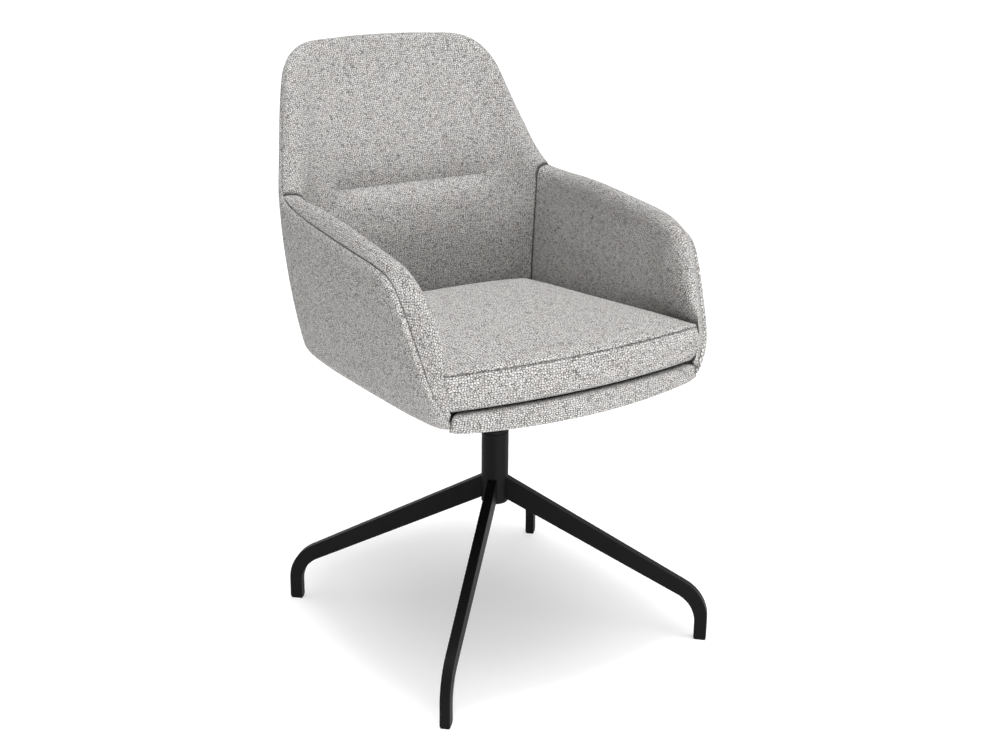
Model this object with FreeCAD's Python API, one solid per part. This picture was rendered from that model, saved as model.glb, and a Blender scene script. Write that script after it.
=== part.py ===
import FreeCAD, Part
import math
import os

os.makedirs("parts", exist_ok=True)
Vector = FreeCAD.Vector
ORIGIN = Vector(0, 0, 0)
UP = Vector(0, 0, 1)

# Frame: millimetres, +Z up, the sitter faces -Y, the origin is on the floor under the column.

# General clearances
LAYER_GAP = 0.7
SEAT_GAP = 0.3
SWIVEL_GAP = 0.3
OVERRUN = 20.0

# Base: four bent flat bars welded to an upright tube
BASE_RADIUS = 340.0
LEG_COUNT = 4
FIRST_LEG_ANGLE = 45.0
LEG_THICK = 15.0
LEG_EDGE_ROUND = 1.0
FOOT_DEPTH = 19.5
FOOT_OUTER_BEND = 68.0
FOOT_INNER_BEND = 50.0
LEG_ROOT_TOP = 245.5
LEG_ROOT_BOTTOM = 209.8
LEG_OUTER_KNEE = 75.9
LEG_INNER_KNEE = 60.5
LEG_NAMES = ("leg_back_right", "leg_back_left", "leg_front_left", "leg_front_right")

# Glides under the feet
GLIDE_THICK = 3.0
GLIDE_INSET = 0.5
GLIDE_PIN_RADIUS = 2.5
GLIDE_PIN_LENGTH = 9.0
GLIDE_PIN_CLEARANCE = 0.05

# Column
COLUMN_RADIUS = 21.0
COLUMN_WALL = 2.5
COLUMN_BOTTOM = 207.0
COLUMN_TOP = 320.0
CAP_THICK = 2.0
CAP_PLUG_LENGTH = 4.5
CAP_PLUG_WALL = 2.0
CAP_CLEARANCE = 0.05

# Swivel bearing
SPINDLE_RADIUS = 14.0
SPINDLE_BOTTOM = 213.5
SPINDLE_CHAMFER = 1.0
SHOULDER_RADIUS = 17.0
BUSH_CLEARANCE = 0.05
LOWER_BUSH_BOTTOM = 223.0
LOWER_BUSH_LENGTH = 20.0
UPPER_BUSH_LENGTH = 22.0
BUSH_FLANGE_RADIUS = 19.3
BUSH_FLANGE_THICK = 3.0
THRUST_WASHER_RADIUS = 18.0
THRUST_WASHER_THICK = 1.5
KEEPER_WASHER_RADIUS = 17.5
KEEPER_WASHER_THICK = 2.0
CIRCLIP_THICK = 1.5
CIRCLIP_RADIUS = 16.8
CIRCLIP_GROOVE_DEPTH = 1.0
CIRCLIP_MOUTH = 14.0
COLLAR_WALL = 2.5
COLLAR_EDGE_ROUND = 0.6

# Seat plate and what bolts it to the seat board
SHELL_BOTTOM = 425.0
PLATE_SIDE = 190.0
PLATE_THICK = 5.0
PLATE_CORNER = 18.0
PLATE_HOLE_PITCH = 150.0
SCREW_RADIUS = 4.0
SCREW_HOLE_RADIUS = 4.5
SCREW_HEAD_RADIUS = 7.0
SCREW_HEAD_HEIGHT = 4.0
SCREW_SOCKET_RADIUS = 2.9
SCREW_SOCKET_DEPTH = 2.4
NUT_FLANGE_RADIUS = 10.0
NUT_FLANGE_THICK = 1.5
NUT_BARREL_RADIUS = 5.2
NUT_BARREL_LENGTH = 10.0
NUT_BORE_CLEARANCE = 0.1

# Seat board, deck pad, front rail and dust cover
SEAT_BOARD_THICK = 12.0
DECK_FRONT_TOP = 454.0
DECK_REAR_TOP = 447.0
DECK_CORNER = 25.0
DUST_COVER_THICK = 1.0
DUST_COVER_INSET = 9.0
RAIL_DEPTH = 16.0
RAIL_TOP = 451.0
RAIL_BOTTOM = 421.5
RAIL_TILT = 8.0
RAIL_ROUND = 6.0

# Plan of the seat, in shares of the arms' half width (x) and of the seat's half depth (y)
RAIL_CORNER_X_SHARE = 0.844
RAIL_CORNER_Y_SHARE = 0.995
RAIL_CENTRE_Y_SHARE = 1.1075
DECK_FRONT_X_SHARE = 0.781
DECK_REAR_X_SHARE = 0.75
DECK_REAR_Y_SHARE = 1.01
BOARD_FRONT_X_SHARE = 0.77
BOARD_X_SHARE = 0.816
BOARD_SHOULDER_Y_SHARE = 0.832
BOARD_REAR_Y_SHARE = 1.103

# Upholstered wall: the scale lengths that its shares follow
ARM_HALF_WIDTH = 256.0
SEAT_HALF_DEPTH = 214.0
ARM_RISE = 251.0
BACK_RISE = 198.0
COVER_THICK = 4.0
BOARD_THICK = 6.0
BOARD_END_SHARE = 0.86
WALL_BELLY = 12.0
ARM_PAD_THICK = 26.0
BACK_EDGE_THICK = 30.0
ARM_CROWN = 23.0
BACK_CROWN = 11.0
PAD_INNER_BOTTOM = 452.0
PLEAT_HEIGHT = 668.0
LUMBAR_HEIGHT = 560.0

# Arm stations from the nose to the backrest: foot x, foot y, rim x, rim y, rim z
ARM_SHARES = (
    (0.80, -0.95, 0.835, -1.00, 0.07),
    (0.82, -0.92, 0.90, -0.97, 0.215),
    (0.83, -0.87, 0.945, -0.87, 0.40),
    (0.835, -0.78, 0.975, -0.757, 0.62),
    (0.835, -0.69, 0.995, -0.65, 0.77),
    (0.835, -0.56, 1.00, -0.52, 0.825),
    (0.835, -0.30, 0.995, -0.28, 0.85),
    (0.835, 0.12, 0.977, 0.12, 0.872),
    (0.835, 0.48, 0.967, 0.48, 0.901),
    (0.83, 0.73, 0.957, 0.75, 0.93),
    (0.81, 0.935, 0.949, 0.99, 1.00),
)
ARM_FACINGS = (-40, -25, -15, -8, -4, 0, 0, 0, 2, 6, 18)
ARM_BELLY_SHARES = (0.05, 0.25, 0.6, 0.8, 0.9, 0.95, 0.95, 0.95, 0.9, 0.8, 0.75)
ARM_PAD_SHARES = (0.3, 0.34, 0.8, 1.1, 1.2, 1.12, 1.03, 0.97, 0.96, 1.0, 1.15)
ARM_CROWN_SHARES = (0.25, 0.5, 1.05, 0.92, 0.68, 0.68, 0.85, 1.07, 1.02, 0.76, 0.1)
ARM_BOARD_SHARES = (0.1, 0.3, 1.0, 1.0, 1.0, 1.0, 1.0, 1.0, 1.0, 1.0, 1.0)
ARM_INNER_FOOT_SHARES = (
    (0.80, -0.95), (0.82, -0.955), (0.815, -0.92), (0.812, -0.84), (0.81, -0.71), (0.808, -0.54),
    (0.805, -0.28), (0.797, 0.12), (0.79, 0.48), (0.78, 0.75), (0.77, 0.955),
)
BOARDLESS_STATION_COUNT = 2

# Backrest stations from the arm seam to the middle: foot x, foot y, rim x, rim y, rim z above the arm
BACK_SHARES = (
    (0.81, 0.935, 0.949, 0.99, 0.0),
    (0.766, 1.01, 0.903, 1.11, 0.156),
    (0.703, 1.065, 0.857, 1.205, 0.354),
    (0.625, 1.093, 0.793, 1.325, 0.614),
    (0.54, 1.103, 0.738, 1.41, 0.845),
    (0.49, 1.106, 0.695, 1.465, 0.935),
    (0.44, 1.108, 0.61, 1.52, 0.982),
    (0.33, 1.112, 0.45, 1.57, 1.005),
    (0.17, 1.118, 0.23, 1.60, 1.015),
    (0.0, 1.121, 0.0, 1.61, 1.02),
)
BACK_FACINGS = (18, 30, 42, 55, 66, 70, 74, 80, 85, 90)
BACK_RIM_FACINGS = (18, 40, 52, 62, 70, 73, 77, 83, 87, 90)
BACK_BELLY_SHARES = (0.75, 0.7, 0.85, 0.95, 1.0, 1.0, 1.0, 1.0, 1.0, 1.0)
BACK_CROWN_SHARES = (0.2, 0.25, 0.25, 0.3, 0.5, 0.75, 1.0, 1.0, 1.0, 1.0)
BACK_INNER_FOOT_SHARES = (
    (0.77, 0.955), (0.758, 0.975), (0.703, 1.005), (0.617, 1.02), (0.531, 1.025), (0.488, 1.028),
    (0.437, 1.03), (0.336, 1.03), (0.168, 1.03), (0.0, 1.03),
)
BACK_LUMBAR_SHARES = (
    (0.797, 0.949), (0.777, 0.972), (0.719, 1.0), (0.637, 1.014), (0.547, 1.023), (0.50, 1.028),
    (0.449, 1.033), (0.344, 1.037), (0.172, 1.037), (0.0, 1.037),
)
BACK_PLEAT_SHARES = (
    (0.822, 0.91), (0.805, 0.963), (0.75, 1.037), (0.672, 1.089), (0.594, 1.112), (0.547, 1.121),
    (0.477, 1.13), (0.352, 1.14), (0.176, 1.145), (0.0, 1.145),
)
BACK_PLEAT_DROP_SHARES = (0.16, 0.08, 0.03, 0.0, 0.0, 0.0, 0.0, 0.0, 0.0, 0.0)
CROWN_OUTER_SHARES = (0.12, 0.6)
CROWN_APEX_SHARE = 0.52
CROWN_INNER_SHARES = (0.9, 0.78)
CROWN_END_SHARE = 0.35
PAD_SWELL_SHARE = 0.1
ARM_SEAM_LIFT = 2.0
BACK_SEAM_LIFT = 1.0
LEDGE_LIFT = 2.4

# Wood screws that hold the side and back boards to the edge of the seat board
WOOD_SCREW_RADIUS = 2.0
WOOD_SCREW_LENGTH = 30.0
WOOD_SCREW_HEAD_RADIUS = 3.8
WOOD_SCREW_HEAD_HEIGHT = 1.2
WOOD_SCREW_CLEARANCE = 0.1
WOOD_SCREW_SINK = 1.4
WOOD_SCREW_PLACE_SHARES = (-0.55, 0.0, 0.55)

# Loose seat cushion
CUSHION_FRONT_SEAM = 510.0
CUSHION_REAR_SEAM = 490.0
CUSHION_CROWN = 14.0
CUSHION_CROWN_REACH = 110.0
CUSHION_FRONT_X_SHARE = 0.8555
CUSHION_WAIST_X_SHARE = 0.793
CUSHION_REAR_X_SHARE = 0.75
CUSHION_FRONT_CENTRE_Y_SHARE = 1.084
CUSHION_FRONT_CORNER_Y_SHARE = 0.986
CUSHION_REAR_CENTRE_Y_SHARE = 0.995
CUSHION_REAR_CORNER_Y_SHARE = 0.949
CUSHION_CORNER = 18.0
CUSHION_SWELL = 3.0
CUSHION_FOOT_INSET = 12.0

# Border sections: share of the way up, inset as a share of the foot inset, swell share
BORDER_SHARES = ((0.0, 1.0, 0.0), (0.12, 0.4, 0.0), (0.4, 0.0, 0.9), (0.7, 0.0, 1.0), (1.0, 0.0, 0.0))
# Crown sections: share of the crown's height, share of its reach inwards
CROWN_SHARES = ((0.0, 0.0), (0.34, 0.08), (0.66, 0.28), (0.9, 0.62), (1.0, 1.0))


def export(name, shape):
    """Check a node's shape, report it and write its file."""
    if not shape.isValid():
        print("INVALID", name)
    box = shape.BoundBox
    print(f"{name}: {len(shape.Solids)} solids, {shape.Volume:.0f} mm3, "
          f"x {box.XMin:.1f}..{box.XMax:.1f} y {box.YMin:.1f}..{box.YMax:.1f} z {box.ZMin:.1f}..{box.ZMax:.1f}")
    shape.exportStep(f"parts/{name}.step")


def cylinder(radius, bottom, top):
    """Upright cylinder on the column axis."""
    return Part.makeCylinder(radius, top - bottom, Vector(0, 0, bottom))


def ring(outer, inner, bottom, top):
    """Upright tube on the column axis."""
    return cylinder(outer, bottom, top).cut(cylinder(inner, bottom - OVERRUN, top + OVERRUN))


def arc(start, middle, end):
    return Part.Arc(start, middle, end).toShape()


def line(start, end):
    return Part.LineSegment(start, end).toShape()


def mirrored(shape):
    """The same shape on the other side of the chair's middle plane."""
    return shape.mirror(ORIGIN, Vector(1, 0, 0))


def rounded_outline(corners):
    """Closed wire through (point, radius) corners, each rounded by its own radius."""
    cuts = []
    count = len(corners)
    for index, (point, radius) in enumerate(corners):
        before = corners[index - 1][0]
        after = corners[(index + 1) % count][0]
        incoming = (point - before).normalize()
        outgoing = (after - point).normalize()
        turn = incoming.getAngle(outgoing)
        reach = radius * math.tan(turn / 2)
        start = point - incoming * reach
        end = point + outgoing * reach
        inward = (outgoing - incoming).normalize() if radius else ORIGIN
        middle = point + inward * (radius / math.cos(turn / 2) - radius)
        cuts.append((start, middle, end, radius))
    edges = []
    for index, (start, middle, end, radius) in enumerate(cuts):
        if radius:
            edges.append(arc(start, middle, end))
        edges.append(line(end, cuts[(index + 1) % count][0]))
    return Part.Wire(edges)


def leg_outline():
    """Side outline of a leg: straight and tapering from the column, then bent down to the foot."""
    root = COLUMN_RADIUS - LEG_THICK / 2
    inner_foot = BASE_RADIUS - FOOT_DEPTH
    top_fall = (LEG_ROOT_TOP - LEG_OUTER_KNEE) / (BASE_RADIUS - COLUMN_RADIUS)
    bottom_fall = (LEG_ROOT_BOTTOM - LEG_INNER_KNEE) / (inner_foot - COLUMN_RADIUS)
    top_start = Vector(root, 0, LEG_ROOT_TOP + top_fall * (COLUMN_RADIUS - root))
    top_corner = Vector(BASE_RADIUS, 0, LEG_OUTER_KNEE)
    bottom_start = Vector(root, 0, LEG_ROOT_BOTTOM + bottom_fall * (COLUMN_RADIUS - root))
    bottom_corner = Vector(inner_foot, 0, LEG_INNER_KNEE)
    return rounded_outline([
        (top_start, 0),
        (top_corner, FOOT_OUTER_BEND),
        (Vector(BASE_RADIUS, 0, GLIDE_THICK), 0),
        (Vector(inner_foot, 0, GLIDE_THICK), 0),
        (bottom_corner, FOOT_INNER_BEND),
        (bottom_start, 0),
    ])


def glide_axis():
    """Distance from the column axis to the middle of a foot."""
    return BASE_RADIUS - FOOT_DEPTH / 2


def glide_pin(extra):
    """Pin of a glide, wider by the given clearance when it cuts its hole."""
    place = Vector(glide_axis(), 0, GLIDE_THICK / 2)
    return Part.makeCylinder(GLIDE_PIN_RADIUS + extra, GLIDE_THICK / 2 + GLIDE_PIN_LENGTH + extra, place)


def make_leg():
    """One leg along +X, its root shaped to the column tube."""
    face = Part.Face(leg_outline())
    bar = face.extrude(Vector(0, LEG_THICK, 0))
    bar.translate(Vector(0, -LEG_THICK / 2, 0))
    lengthwise = [edge for edge in bar.Edges if abs(edge.BoundBox.YLength) < LEG_EDGE_ROUND]
    long_edges = [edge for edge in lengthwise if edge.BoundBox.ZMin > GLIDE_THICK - LEG_EDGE_ROUND
                  and edge.Length > FOOT_DEPTH + LEG_THICK / 2 and edge.BoundBox.XMax > COLUMN_RADIUS]
    bar = bar.makeFillet(LEG_EDGE_ROUND, long_edges)
    bar = bar.cut(cylinder(COLUMN_RADIUS, 0, COLUMN_TOP))
    return bar.cut(glide_pin(GLIDE_PIN_CLEARANCE))


def make_glide():
    """Nylon pad under a foot, with the pin that holds it."""
    inner = BASE_RADIUS - FOOT_DEPTH + GLIDE_INSET
    width = LEG_THICK - GLIDE_INSET * 2
    depth = FOOT_DEPTH - GLIDE_INSET * 2
    pad = Part.makeBox(depth, width, GLIDE_THICK, Vector(inner, -width / 2, 0))
    upright = [edge for edge in pad.Edges if edge.BoundBox.ZLength > GLIDE_THICK / 2]
    pad = pad.makeFillet(GLIDE_PIN_RADIUS, upright)
    return pad.fuse(glide_pin(0)).removeSplitter()


def make_base():
    """Legs and glides, turned about the column."""
    leg = make_leg()
    glide = make_glide()
    for index, name in enumerate(LEG_NAMES):
        angle = FIRST_LEG_ANGLE + index * 360 / LEG_COUNT
        for shape, node in ((leg, name), (glide, name.replace("leg", "glide"))):
            turned = shape.copy()
            turned.rotate(ORIGIN, UP, angle)
            export(node, turned)


def make_column():
    """Fixed tube and the plug that closes its lower end."""
    bore = COLUMN_RADIUS - COLUMN_WALL
    tube = ring(COLUMN_RADIUS, bore, COLUMN_BOTTOM, COLUMN_TOP)
    export("column_tube", tube)
    plug_radius = bore - CAP_CLEARANCE
    cap = cylinder(COLUMN_RADIUS, COLUMN_BOTTOM - CAP_THICK, COLUMN_BOTTOM)
    rim = [edge for edge in cap.Edges if edge.BoundBox.ZMax < COLUMN_BOTTOM - CAP_THICK / 2
           and edge.Length > COLUMN_RADIUS]
    cap = cap.makeFillet(CAP_THICK / 2, rim)
    plug = ring(plug_radius, plug_radius - CAP_PLUG_WALL, COLUMN_BOTTOM, COLUMN_BOTTOM + CAP_PLUG_LENGTH)
    export("column_cap", cap.fuse(plug))


def shoulder_bottom():
    """Height at which the spindle's shoulder rests on the thrust washer."""
    return COLUMN_TOP + BUSH_FLANGE_THICK + THRUST_WASHER_THICK + SWIVEL_GAP


def keeper_top():
    """Height of the retaining washer's upper face, just under the lower bush."""
    return LOWER_BUSH_BOTTOM - SWIVEL_GAP


def groove_top():
    """Height of the upper wall of the circlip's groove."""
    return keeper_top() - KEEPER_WASHER_THICK


def make_bearing():
    """Bushes and thrust washer, which stay in the column."""
    bore = COLUMN_RADIUS - COLUMN_WALL
    bush_outer = bore - BUSH_CLEARANCE
    bush_inner = SPINDLE_RADIUS + BUSH_CLEARANCE
    lower = ring(bush_outer, bush_inner, LOWER_BUSH_BOTTOM, LOWER_BUSH_BOTTOM + LOWER_BUSH_LENGTH)
    export("lower_bush", lower)
    sleeve = ring(bush_outer, bush_inner, COLUMN_TOP - UPPER_BUSH_LENGTH, COLUMN_TOP)
    flange = ring(BUSH_FLANGE_RADIUS, bush_inner, COLUMN_TOP, COLUMN_TOP + BUSH_FLANGE_THICK)
    export("upper_bush", sleeve.fuse(flange).removeSplitter())
    washer_bottom = COLUMN_TOP + BUSH_FLANGE_THICK
    washer = ring(THRUST_WASHER_RADIUS, SPINDLE_RADIUS + SWIVEL_GAP,
                  washer_bottom, washer_bottom + THRUST_WASHER_THICK)
    export("thrust_washer", washer)


def make_spindle():
    """Turning shaft with its shoulder, retaining washer and circlip."""
    plate_bottom = SHELL_BOTTOM + SEAT_GAP
    shaft = cylinder(SPINDLE_RADIUS, SPINDLE_BOTTOM, shoulder_bottom())
    end = [edge for edge in shaft.Edges if edge.BoundBox.ZMax < SPINDLE_BOTTOM + SPINDLE_CHAMFER]
    shaft = shaft.makeChamfer(SPINDLE_CHAMFER, end)
    shoulder = cylinder(SHOULDER_RADIUS, shoulder_bottom(), plate_bottom)
    groove_bottom = groove_top() - CIRCLIP_THICK
    groove_radius = SPINDLE_RADIUS - CIRCLIP_GROOVE_DEPTH
    groove = ring(SPINDLE_RADIUS + OVERRUN, groove_radius, groove_bottom, groove_top())
    export("spindle", shaft.fuse(shoulder).cut(groove))
    keeper = ring(KEEPER_WASHER_RADIUS, SPINDLE_RADIUS, groove_top(), keeper_top())
    export("retaining_washer", keeper)
    clip = ring(CIRCLIP_RADIUS, groove_radius, groove_bottom, groove_top())
    mouth = Part.makeBox(CIRCLIP_RADIUS + OVERRUN, CIRCLIP_MOUTH, CIRCLIP_THICK,
                         Vector(0, -CIRCLIP_MOUTH / 2, groove_bottom))
    export("circlip", clip.cut(mouth))
    collar_bottom = COLUMN_TOP + BUSH_FLANGE_THICK + SWIVEL_GAP
    collar = ring(COLUMN_RADIUS, COLUMN_RADIUS - COLLAR_WALL, collar_bottom, plate_bottom)
    edge = [edge for edge in collar.Edges if edge.BoundBox.ZMax < collar_bottom + SEAT_GAP
            and edge.BoundBox.XLength > COLUMN_RADIUS * 2 - COLLAR_WALL]
    export("swivel_collar", collar.makeFillet(COLLAR_EDGE_ROUND, edge))


def plate_hole_places():
    """The four bolt places about the column axis."""
    reach = PLATE_HOLE_PITCH / 2
    return [(x * reach, y * reach) for x in (-1, 1) for y in (-1, 1)]


def rods(radius, bottom, top):
    """One upright cylinder at each bolt place."""
    height = top - bottom
    return [Part.makeCylinder(radius, height, Vector(x, y, bottom)) for x, y in plate_hole_places()]


def square_plate(side, corner, bottom, top):
    """Upright square prism on the column axis with rounded corners."""
    half = side / 2
    outline = rounded_outline([
        (Vector(half, -half, bottom), corner), (Vector(half, half, bottom), corner),
        (Vector(-half, half, bottom), corner), (Vector(-half, -half, bottom), corner),
    ])
    return Part.Face(outline).extrude(Vector(0, 0, top - bottom))


def board_bottom():
    return SHELL_BOTTOM + SEAT_GAP + PLATE_THICK


def board_top():
    return board_bottom() + SEAT_BOARD_THICK


def make_mounting():
    """Steel plate on the spindle, its four screws and their nuts in the seat board."""
    bottom = SHELL_BOTTOM + SEAT_GAP
    plate = square_plate(PLATE_SIDE, PLATE_CORNER, bottom, bottom + PLATE_THICK)
    for rod in rods(SCREW_HOLE_RADIUS, bottom - OVERRUN, bottom + OVERRUN):
        plate = plate.cut(rod)
    export("seat_plate", plate)
    nut_top = board_top() + NUT_FLANGE_THICK
    nut_bore = SCREW_RADIUS + NUT_BORE_CLEARANCE
    screws = []
    nuts = []
    heads = rods(SCREW_HEAD_RADIUS, bottom - SCREW_HEAD_HEIGHT, bottom)
    shanks = rods(SCREW_RADIUS, bottom, nut_top)
    sockets = rods(SCREW_SOCKET_RADIUS, bottom - SCREW_HEAD_HEIGHT - OVERRUN,
                   bottom - SCREW_HEAD_HEIGHT + SCREW_SOCKET_DEPTH)
    for head, shank, socket in zip(heads, shanks, sockets):
        screws.append(head.fuse(shank).cut(socket))
    flanges = rods(NUT_FLANGE_RADIUS, board_top(), nut_top)
    barrels = rods(NUT_BARREL_RADIUS, board_top() - NUT_BARREL_LENGTH, board_top())
    bores = rods(nut_bore, bottom, nut_top + OVERRUN)
    for flange, barrel, bore in zip(flanges, barrels, bores):
        nuts.append(flange.fuse(barrel).cut(bore))
    export("plate_screws", Part.makeCompound(screws))
    export("tee_nuts", Part.makeCompound(nuts))


def plan_x(share):
    """Distance from the middle plane, as a share of the arms' half width."""
    return share * ARM_HALF_WIDTH


def plan_y(share):
    """Distance from the column axis to the front or rear, as a share of the seat's half depth."""
    return share * SEAT_HALF_DEPTH


class Rib:
    """Upright section of the upholstered wall, from its foot up to the seam at its rim."""

    def __init__(self, foot, rim, facing, rim_facing, belly):
        self.foot = foot
        self.rim = rim
        self.facing = facing
        self.rim_facing = rim_facing
        self.belly = belly
        self.crown_way = UP
        self.lift = 0
        self.is_end = False

    def settle(self, point):
        """The point itself, or on an end rib the nearest point in the rib's own plane."""
        if not self.is_end:
            return point
        across = self.across()
        return point - across * (point - self.foot).dot(across)

    def across(self):
        """Unit vector square to the rib's own plane."""
        return (self.rim - self.foot).cross(self.outward(0)).normalize()

    def outward(self, share):
        """Level unit vector out of the wall at a share of the way up."""
        angle = math.radians(self.facing + (self.rim_facing - self.facing) * max(0, 2 * share - 1))
        return Vector(math.cos(angle), math.sin(angle), 0)

    def at(self, share, depth):
        """Point of the wall at a share of the way up and a depth inside the outer face."""
        chord = self.foot + (self.rim - self.foot) * share
        swell = 4 * share * (1 - share) * self.belly
        return chord + self.outward(0) * swell - self.outward(share) * depth

    def share_at(self, height):
        """Share of the way up at which the wall reaches a height, half way at most."""
        return min(0.5, (height - self.foot.z) / (self.rim.z - self.foot.z))

    def strip(self, low, high, depth):
        """Arc up the wall at one depth."""
        return arc(self.at(low, depth), self.at((low + high) / 2, depth), self.at(high, depth))


def set_crown_ways(ribs, lift):
    """Point each rib's crown square to the rim and along the wall, and set its height over the rim."""
    last = len(ribs) - 1
    for index, rib in enumerate(ribs):
        along = ribs[min(index + 1, last)].rim - ribs[max(index - 1, 0)].rim
        rib.crown_way = rib.outward(1).cross(along).normalize()
        rib.lift = lift


def mark_ends(ribs, places):
    """Make the ribs at a loft's ends flat, so that flat faces close it."""
    for place in places:
        ribs[place].is_end = True


def arm_ribs():
    """Ribs of the wall on the +X side, from the nose to the backrest."""
    ribs = []
    for shares, facing, belly in zip(ARM_SHARES, ARM_FACINGS, ARM_BELLY_SHARES):
        foot = Vector(plan_x(shares[0]), plan_y(shares[1]), SHELL_BOTTOM)
        rim = Vector(plan_x(shares[2]), plan_y(shares[3]), SHELL_BOTTOM + shares[4] * ARM_RISE)
        ribs.append(Rib(foot, rim, facing, facing, belly * WALL_BELLY))
    set_crown_ways(ribs, ARM_SEAM_LIFT)
    mark_ends(ribs, (0, -1))
    return ribs


def half_back_ribs():
    """Ribs of the backrest on the +X side, from the arm seam to the middle."""
    ribs = []
    for shares, facing, rim_facing, belly in zip(BACK_SHARES, BACK_FACINGS, BACK_RIM_FACINGS,
                                                 BACK_BELLY_SHARES):
        foot = Vector(plan_x(shares[0]), plan_y(shares[1]), SHELL_BOTTOM)
        rim = Vector(plan_x(shares[2]), plan_y(shares[3]), SHELL_BOTTOM + ARM_RISE + shares[4] * BACK_RISE)
        ribs.append(Rib(foot, rim, facing, rim_facing, belly * WALL_BELLY))
    set_crown_ways(ribs, BACK_SEAM_LIFT)
    mark_ends(ribs, (0,))
    return ribs


def flip(point):
    """The same point on the other side of the chair."""
    return Vector(-point.x, point.y, point.z)


def both_sides(half):
    """Wires of the right half, then the same wires mirrored from the middle to the left."""
    flipped = [mirrored(wire) for wire in reversed(half[:-1])]
    return half + flipped


def loft(wires):
    return Part.makeLoft(wires, True, False)


def layer_wire(rib, low, high, near, far):
    """Section of a layer of the wall between two depths."""
    return Part.Wire([
        rib.strip(low, high, near),
        line(rib.at(high, near), rib.at(high, far)),
        arc(rib.at(high, far), rib.at((low + high) / 2, far), rib.at(low, far)),
        line(rib.at(low, far), rib.at(low, near)),
    ])


def make_cover(sides, back):
    """Fabric cover of the outside: both sides and the rear in one piece."""
    side = loft([layer_wire(rib, 0, 1, 0, COVER_THICK) for rib in sides])
    rear = loft(both_sides([layer_wire(rib, 0, 1, 0, COVER_THICK) for rib in back]))
    return rear.fuse([side, mirrored(side)]).removeSplitter()


def board_wire(rib):
    near = COVER_THICK + LAYER_GAP
    return layer_wire(rib, 0, BOARD_END_SHARE, near, near + BOARD_THICK)


def make_boards(sides, back):
    """Bent plywood: one board in each side and one in the backrest."""
    side = loft([board_wire(rib) for rib in sides[BOARDLESS_STATION_COUNT:]])
    rear = loft(both_sides([board_wire(rib) for rib in back]))
    return side, rear


def crown_point(rib, thick, crown, inward_share, crown_share):
    """Point over the rim, inwards and up by shares of the pad's edge."""
    rise = rib.lift + (crown - rib.lift) * crown_share
    inward = rib.outward(1) * (-thick * inward_share)
    return rib.settle(rib.rim + inward + rib.crown_way * rise)


def pad_edges(rib, thick, crown, board_share, inner_points):
    """Edges of a pad's section: behind it the board, over the rim its crown, then its inner face."""
    near = COVER_THICK + LAYER_GAP
    back_depth = near + board_share * (BOARD_THICK + LAYER_GAP)
    low = rib.share_at(board_top() + LAYER_GAP)
    ledge = BOARD_END_SHARE + LEDGE_LIFT / (rib.rim - rib.foot).Length
    start = rib.at(low, back_depth)
    seam = crown_point(rib, thick, crown, 0, 0)
    seam_back = rib.at(1, near) + seam - rib.rim
    apex = crown_point(rib, thick, crown, CROWN_APEX_SHARE, 1)
    end = crown_point(rib, thick, crown, 1, CROWN_END_SHARE)
    outer_way = crown_point(rib, thick, crown, *CROWN_OUTER_SHARES)
    inner_way = crown_point(rib, thick, crown, *CROWN_INNER_SHARES)
    points = [end] + [rib.settle(point) for point in inner_points]
    edges = [
        rib.strip(low, ledge, back_depth),
        line(rib.at(ledge, back_depth), rib.at(ledge, near)),
        line(rib.at(ledge, near), seam_back),
        line(seam_back, seam),
        arc(seam, outer_way, apex),
        arc(apex, inner_way, end),
    ]
    for index in range(0, len(points) - 1, 2):
        edges.append(arc(*points[index:index + 3]))
    edges.append(line(points[-1], start))
    return edges


def arm_pad_wire(rib, index):
    thick = ARM_PAD_SHARES[index] * ARM_PAD_THICK
    crown = ARM_CROWN_SHARES[index] * ARM_CROWN
    x_share, y_share = ARM_INNER_FOOT_SHARES[index]
    foot = Vector(plan_x(x_share), plan_y(y_share), PAD_INNER_BOTTOM)
    top = crown_point(rib, thick, crown, 1, CROWN_END_SHARE)
    middle = (top + foot) / 2 - rib.outward(0.5) * (thick * PAD_SWELL_SHARE)
    return Part.Wire(pad_edges(rib, thick, crown, ARM_BOARD_SHARES[index], [middle, foot]))


def make_arm_pad(sides):
    """Padded inner face of an arm, which wraps over the top to the outer seam."""
    return loft([arm_pad_wire(rib, index) for index, rib in enumerate(sides)])


def back_pad_wire(rib, index):
    """Section of the back pad: lumbar swell below the pleat, flatter padding above it."""
    crown = BACK_CROWN_SHARES[index] * BACK_CROWN
    top = crown_point(rib, BACK_EDGE_THICK, crown, 1, CROWN_END_SHARE)

    def inner(table, height):
        return Vector(plan_x(table[index][0]), plan_y(table[index][1]), height)

    drop = BACK_PLEAT_DROP_SHARES[index] * (PLEAT_HEIGHT - PAD_INNER_BOTTOM)
    pleat = inner(BACK_PLEAT_SHARES, PLEAT_HEIGHT - drop)
    upper = (top + pleat) / 2 - rib.outward(1) * (BACK_EDGE_THICK * PAD_SWELL_SHARE)
    lumbar = inner(BACK_LUMBAR_SHARES, LUMBAR_HEIGHT)
    foot = inner(BACK_INNER_FOOT_SHARES, PAD_INNER_BOTTOM)
    return Part.Wire(pad_edges(rib, BACK_EDGE_THICK, crown, 1.0, [upper, pleat, lumbar, foot]))


def make_back_pad(back):
    return loft(both_sides([back_pad_wire(rib, index) for index, rib in enumerate(back)]))


def bow(half_width, inset, height):
    """Arc along the bowed front at a distance inside the rail's face, from left to right."""
    corner = plan_y(RAIL_CORNER_Y_SHARE) - inset
    centre = plan_y(RAIL_CENTRE_Y_SHARE) - inset
    return arc(Vector(-half_width, -corner, height), Vector(0, -centre, height),
               Vector(half_width, -corner, height))


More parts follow.
